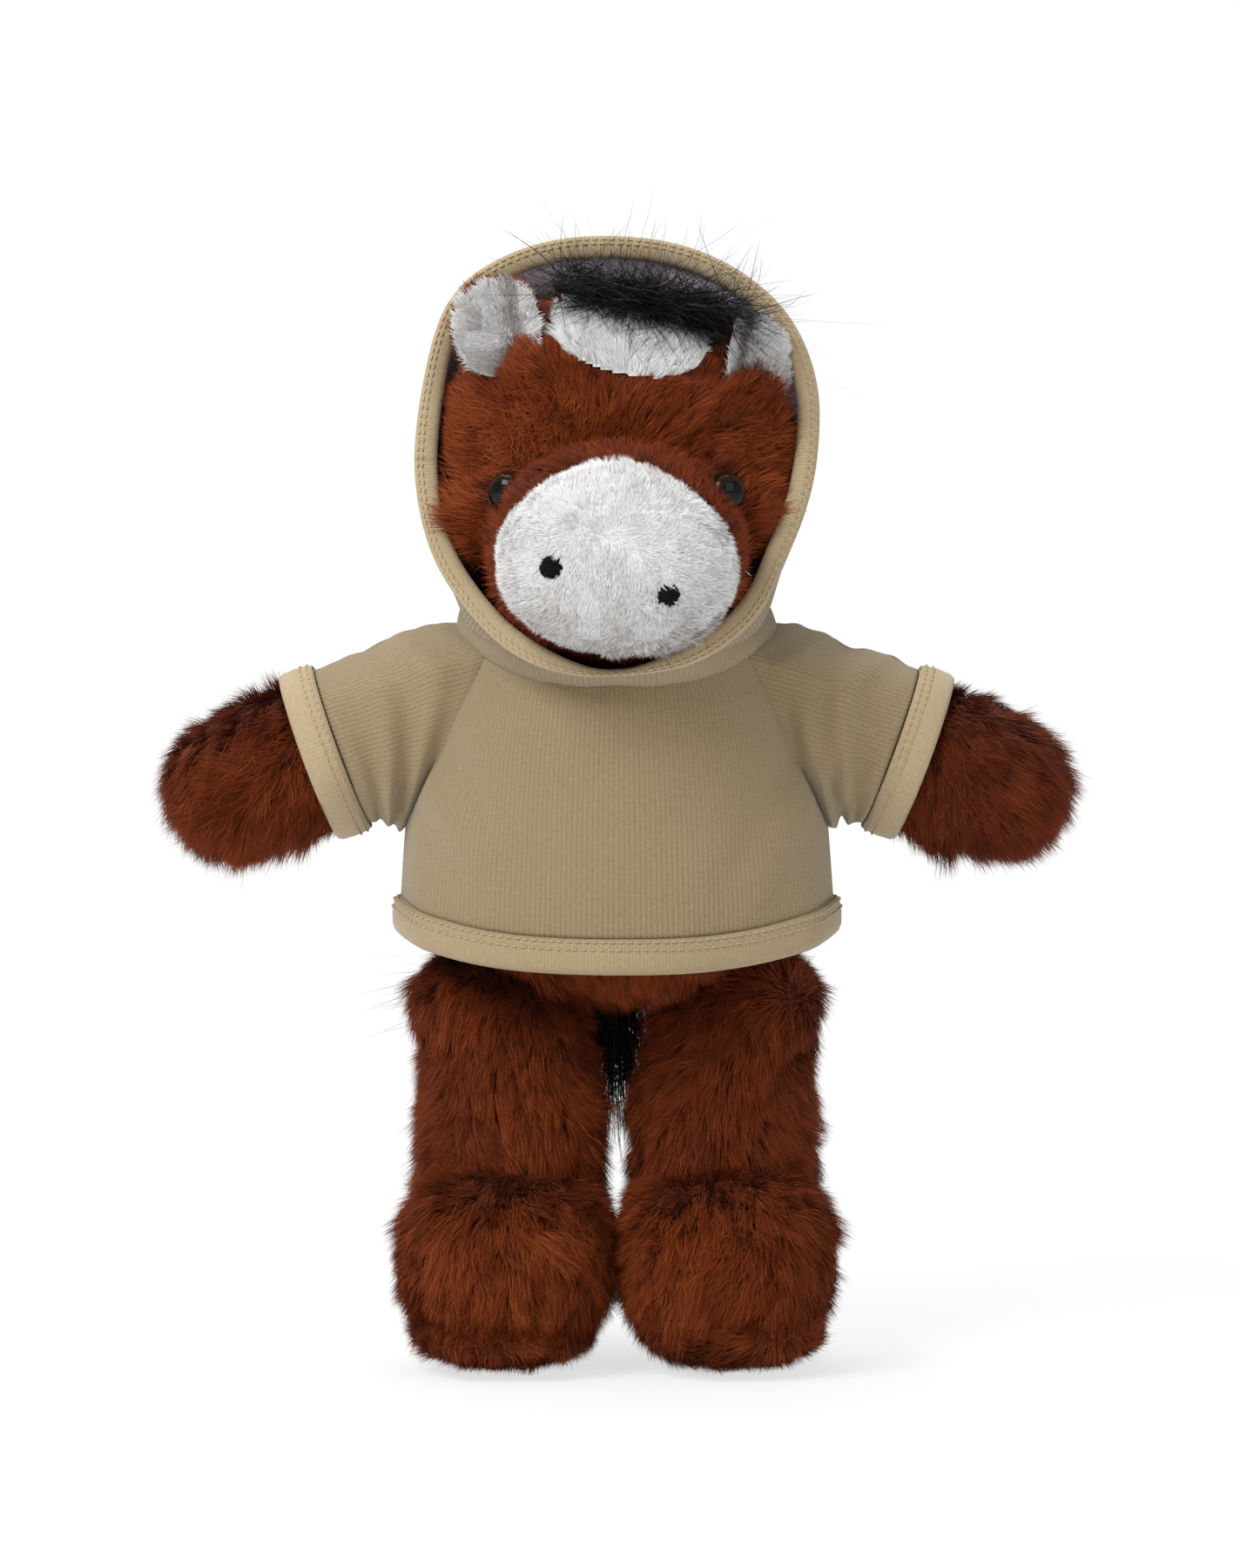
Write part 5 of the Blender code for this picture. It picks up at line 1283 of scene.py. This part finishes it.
def hood_sheet(name, first, last, draw_in, thickness, material):
    """A part of the hood between two turns round the face, cut level at the collar, with its thickness."""
    turn = np.radians(np.linspace(first, last, 101))[None, :]
    share = np.concatenate([np.linspace(0, 0.9, 37), np.linspace(0.915, 0.9995, 9)])[:, None]
    around, lining = (turn + np.pi) % (2 * np.pi) - np.pi + 0 * share, material is FLEECE
    drawn = draw_in + fleece_swell(around, share + 0 * turn) if lining else draw_in
    points = hood_points(around, share + 0 * turn, drawn)
    x, y, z = points[..., 0], points[..., 1], points[..., 2]
    fold = 0.0012 * np.sin(z * 110 + y * 60) * clamp((0.245 - z) / 0.03)
    fold += 0.0009 * np.sin(y * 150 + x * 60 + 0.5) * clamp((y - 0.005) / 0.03)
    seam = np.exp(-((x / 0.0012) ** 2)) * 0.0006
    outward = unit(points - (0, MIDDLE, HOOD_MIDDLE[1]))
    points = points + outward * (fold * clamp(share * 5) - seam)[..., None]
    base = Vector((0, MIDDLE, COLLAR_TOP + (0.0018 if lining else 0))), Vector((0, COLLAR_LEAN, -1)).normalized()
    return in_scene(name, grid_mesh(name, points, turn * 0.055, share * 0.088, material, closed=False,
                                    thickness=thickness, planes=[base]))


def hood_pieces():
    for side, first in (("left", -90), ("right", 90)):
        piece = hood_sheet(f"hood_cloth_{side}", first, first + 180, 0.0, CLOTH, JERSEY)
        finish_piece(piece, "head", "tan_jersey", f"hood_panel_{side}")
    lining = hood_sheet("hood_fleece", -180, 180, 0.0018, 0.0008, FLEECE)
    finish_piece(lining, "head", "grey_fleece", "hood_lining")


def rim_piece():
    """The folded casing round the hood's opening, narrow at the chin, with two rows of stitches."""
    turn = np.linspace(-np.pi, np.pi, 240, endpoint=False)
    width = 0.0060 * (1 - 0.70 * chin_share(turn))
    x, z = on_face(turn, round_face(turn, OPENING_ROWS) + width)
    middle = np.stack([x, rim_reach(x, z), z], 1)
    inward = unit(np.stack([HOOD_MIDDLE[0] - x, 0 * x, HOOD_MIDDLE[1] - z], 1))
    front = np.array((0, -1.0, 0))
    profile = [(0.0, 0.6), (0.06, 0.85), (0.25, 1.05), (0.5, 1.1), (0.75, 1.0), (0.93, 0.7), (1.0, 0.15),
               (0.95, -0.35), (0.75, -0.6), (0.4, -0.7), (0.05, -0.6)]
    wobble = 0.0021 * (1 + 0.06 * np.sin(turn * 9) + 0.04 * np.sin(turn * 17 + 1))

    def ring_at(across, stand):
        return middle + inward * (across * width)[:, None] + front * (stand * wobble + 0.0008)[:, None]

    piece = folded_band("hood_rim_band", ring_at, profile, [(0.16, 0.95), (0.36, 1.08)],
                        lambda path: np.tile(front, (len(path), 1)))
    finish_piece(piece, "head", "tan_jersey", "hood_rim")


def chin_share(turn):
    return clamp(-np.sin(turn)) ** 24


def hood_base(turn):
    """The hood's lower edge, and the rim's below it, at turns about the neck: a loop just inside the cloth."""
    face = np.linspace(-np.pi, np.pi, 720, endpoint=False)
    share = np.linspace(0, 1, 160)[:, None]
    cloth = hood_points(face[None, :] + 0 * share, share + 0 * face[None, :], 0.0012)
    over = cloth[..., 2] - (COLLAR_TOP + COLLAR_LEAN * (cloth[..., 1] - MIDDLE) + 0.0008)
    found = cloth[:-1][(over[:-1] < 0) != (over[1:] < 0)]
    fronts = over[0] < 0
    rim = cloth[0][fronts] + chin_share(face[fronts])[:, None] * [0, 0, 0.0036] + [0, 0.0012, 0.0]
    loop = np.vstack([found, rim])
    around = np.arctan2(loop[:, 1] - MIDDLE, loop[:, 0])
    order = np.argsort(around)
    around, loop = around[order], loop[order]
    around = np.concatenate([around[-20:] - 2 * np.pi, around, around[:20] + 2 * np.pi])
    return on_curve(turn, around, np.vstack([loop[-20:], loop, loop[:20]]))


def collar_piece():
    """The cloth between the neckline's seam and the hood's base."""
    turn = np.linspace(-np.pi, np.pi, 160, endpoint=False)
    height = np.interp(turn, NECKLINE_TURNS, NECKLINE_HEIGHTS)
    x, y = shirt_radius(turn, height)
    low = np.stack([x * 0.995, y * 0.995 + MIDDLE, height - 0.0004], 1)
    share = np.linspace(0, 1, 12)[:, None]
    points = low * (1 - share[..., None]) + hood_base(turn) * share[..., None]
    outward = unit((points - [0, MIDDLE, 0]) * [1, 1, 0])
    points = points + outward * np.sin(share[..., None] * np.pi) * 0.0005
    mesh = grid_mesh("hood_collar", points, turn * 0.042, share * 0.015, JERSEY)
    piece = in_scene("hood_collar_cloth", mesh)
    finish_piece(piece, None, "tan_jersey", "hood_collar")
    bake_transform(piece)


def declare_stuffed_pieces():
    """Does nothing: nothing is set for the plush skins over the stuffing."""


# Light, floor and camera
def mixed_surface(tree, output, share, first, second):
    mix = add_node(tree, "MixShader", {"Fac": share, 1: first, 2: second})
    tree.links.new(mix.outputs[0], tree.nodes[output].inputs["Surface"])


def floor_material():
    """A white floor that fades into the white behind it, away from the toy."""
    made, tree, shader = new_material("floor_white", (0.92, 0.92, 0.92), 1.0)
    coords = add_node(tree, "TexCoord").outputs["Object"]
    far = add_node(tree, "VectorMath", {0: coords}, operation="LENGTH").outputs["Value"]
    limits = {"From Min": 0.12, "From Max": 0.40, "To Min": 0.70, "To Max": 1.0, "Value": far}
    fade = add_node(tree, "MapRange", limits).outputs["Result"]
    share = calc(tree, "MULTIPLY", fade, add_node(tree, "LightPath").outputs["Is Camera Ray"])
    mixed_surface(tree, "Material Output", share, shader.outputs[0], add_node(tree, "Emission").outputs[0])
    return made


def aim_at(holder, place, target):
    holder.location = place
    holder.rotation_mode = "QUATERNION"
    holder.rotation_quaternion = (Vector(target) - holder.location).to_track_quat("-Z", "Y")


def stage_and_light():
    mesh = bpy.data.meshes.new("floor")
    mesh.from_pydata([(-3, -3, 0), (3, -3, 0), (3, 3, 0), (-3, 3, 0)], [], [(0, 1, 2, 3)])
    mesh.materials.append(floor_material())
    floor = in_scene("floor", mesh)
    floor.location.z = -0.0004
    world = bpy.data.worlds.new("studio")
    bpy.context.scene.world = world
    world.use_nodes = True
    tree = world.node_tree
    ambient = tree.nodes["Background"]
    ambient.inputs["Color"].default_value = (1, 1, 1, 1)
    ambient.inputs["Strength"].default_value = 0.52
    seen = add_node(tree, "Background", {"Color": (1, 1, 1, 1), "Strength": 1.0})
    path = add_node(tree, "LightPath").outputs["Is Camera Ray"]
    mixed_surface(tree, "World Output", path, ambient.outputs[0], seen.outputs[0])
    lamps = (
        ("key", (-0.85, -0.95, 1.25), 0.8, 24),
        ("fill", (1.0, -1.0, 0.6), 0.9, 3.5),
        ("top", (-0.1, 0.35, 1.3), 0.8, 9),
    )
    for name, place, size, power in lamps:
        lamp = bpy.data.lights.new(name, "AREA")
        lamp.size = size
        lamp.energy = power
        aim_at(in_scene(name, lamp), place, (0, 0, 0.15))


def make_camera():
    lens = bpy.data.cameras.new("camera")
    lens.sensor_fit = "AUTO"
    lens.sensor_width = 36
    lens.lens = 121
    lens.clip_start = 0.05
    holder = in_scene("camera", lens)
    aim, tilt = Vector((0.0009, MIDDLE - 0.012, 0.1556)), math.radians(3.0)
    aim_at(holder, aim + Vector((0, -math.cos(tilt), math.sin(tilt))) * 1.4, aim)
    bpy.context.scene.camera = holder


make_camera()
stage_and_light()
for each in SIDES:
    leg_pieces(each)
    arm_pieces(each)
for build in (body_pieces, head_pieces, nostril_pieces, eye_pieces, blaze_piece, ear_pieces, forelock_piece,
              tail_piece, shirt_pieces, hem_piece, sleeve_pieces, hood_pieces, rim_piece, collar_piece,
              declare_stuffed_pieces):
    build()
bpy.context.scene.view_settings.view_transform = "Standard"
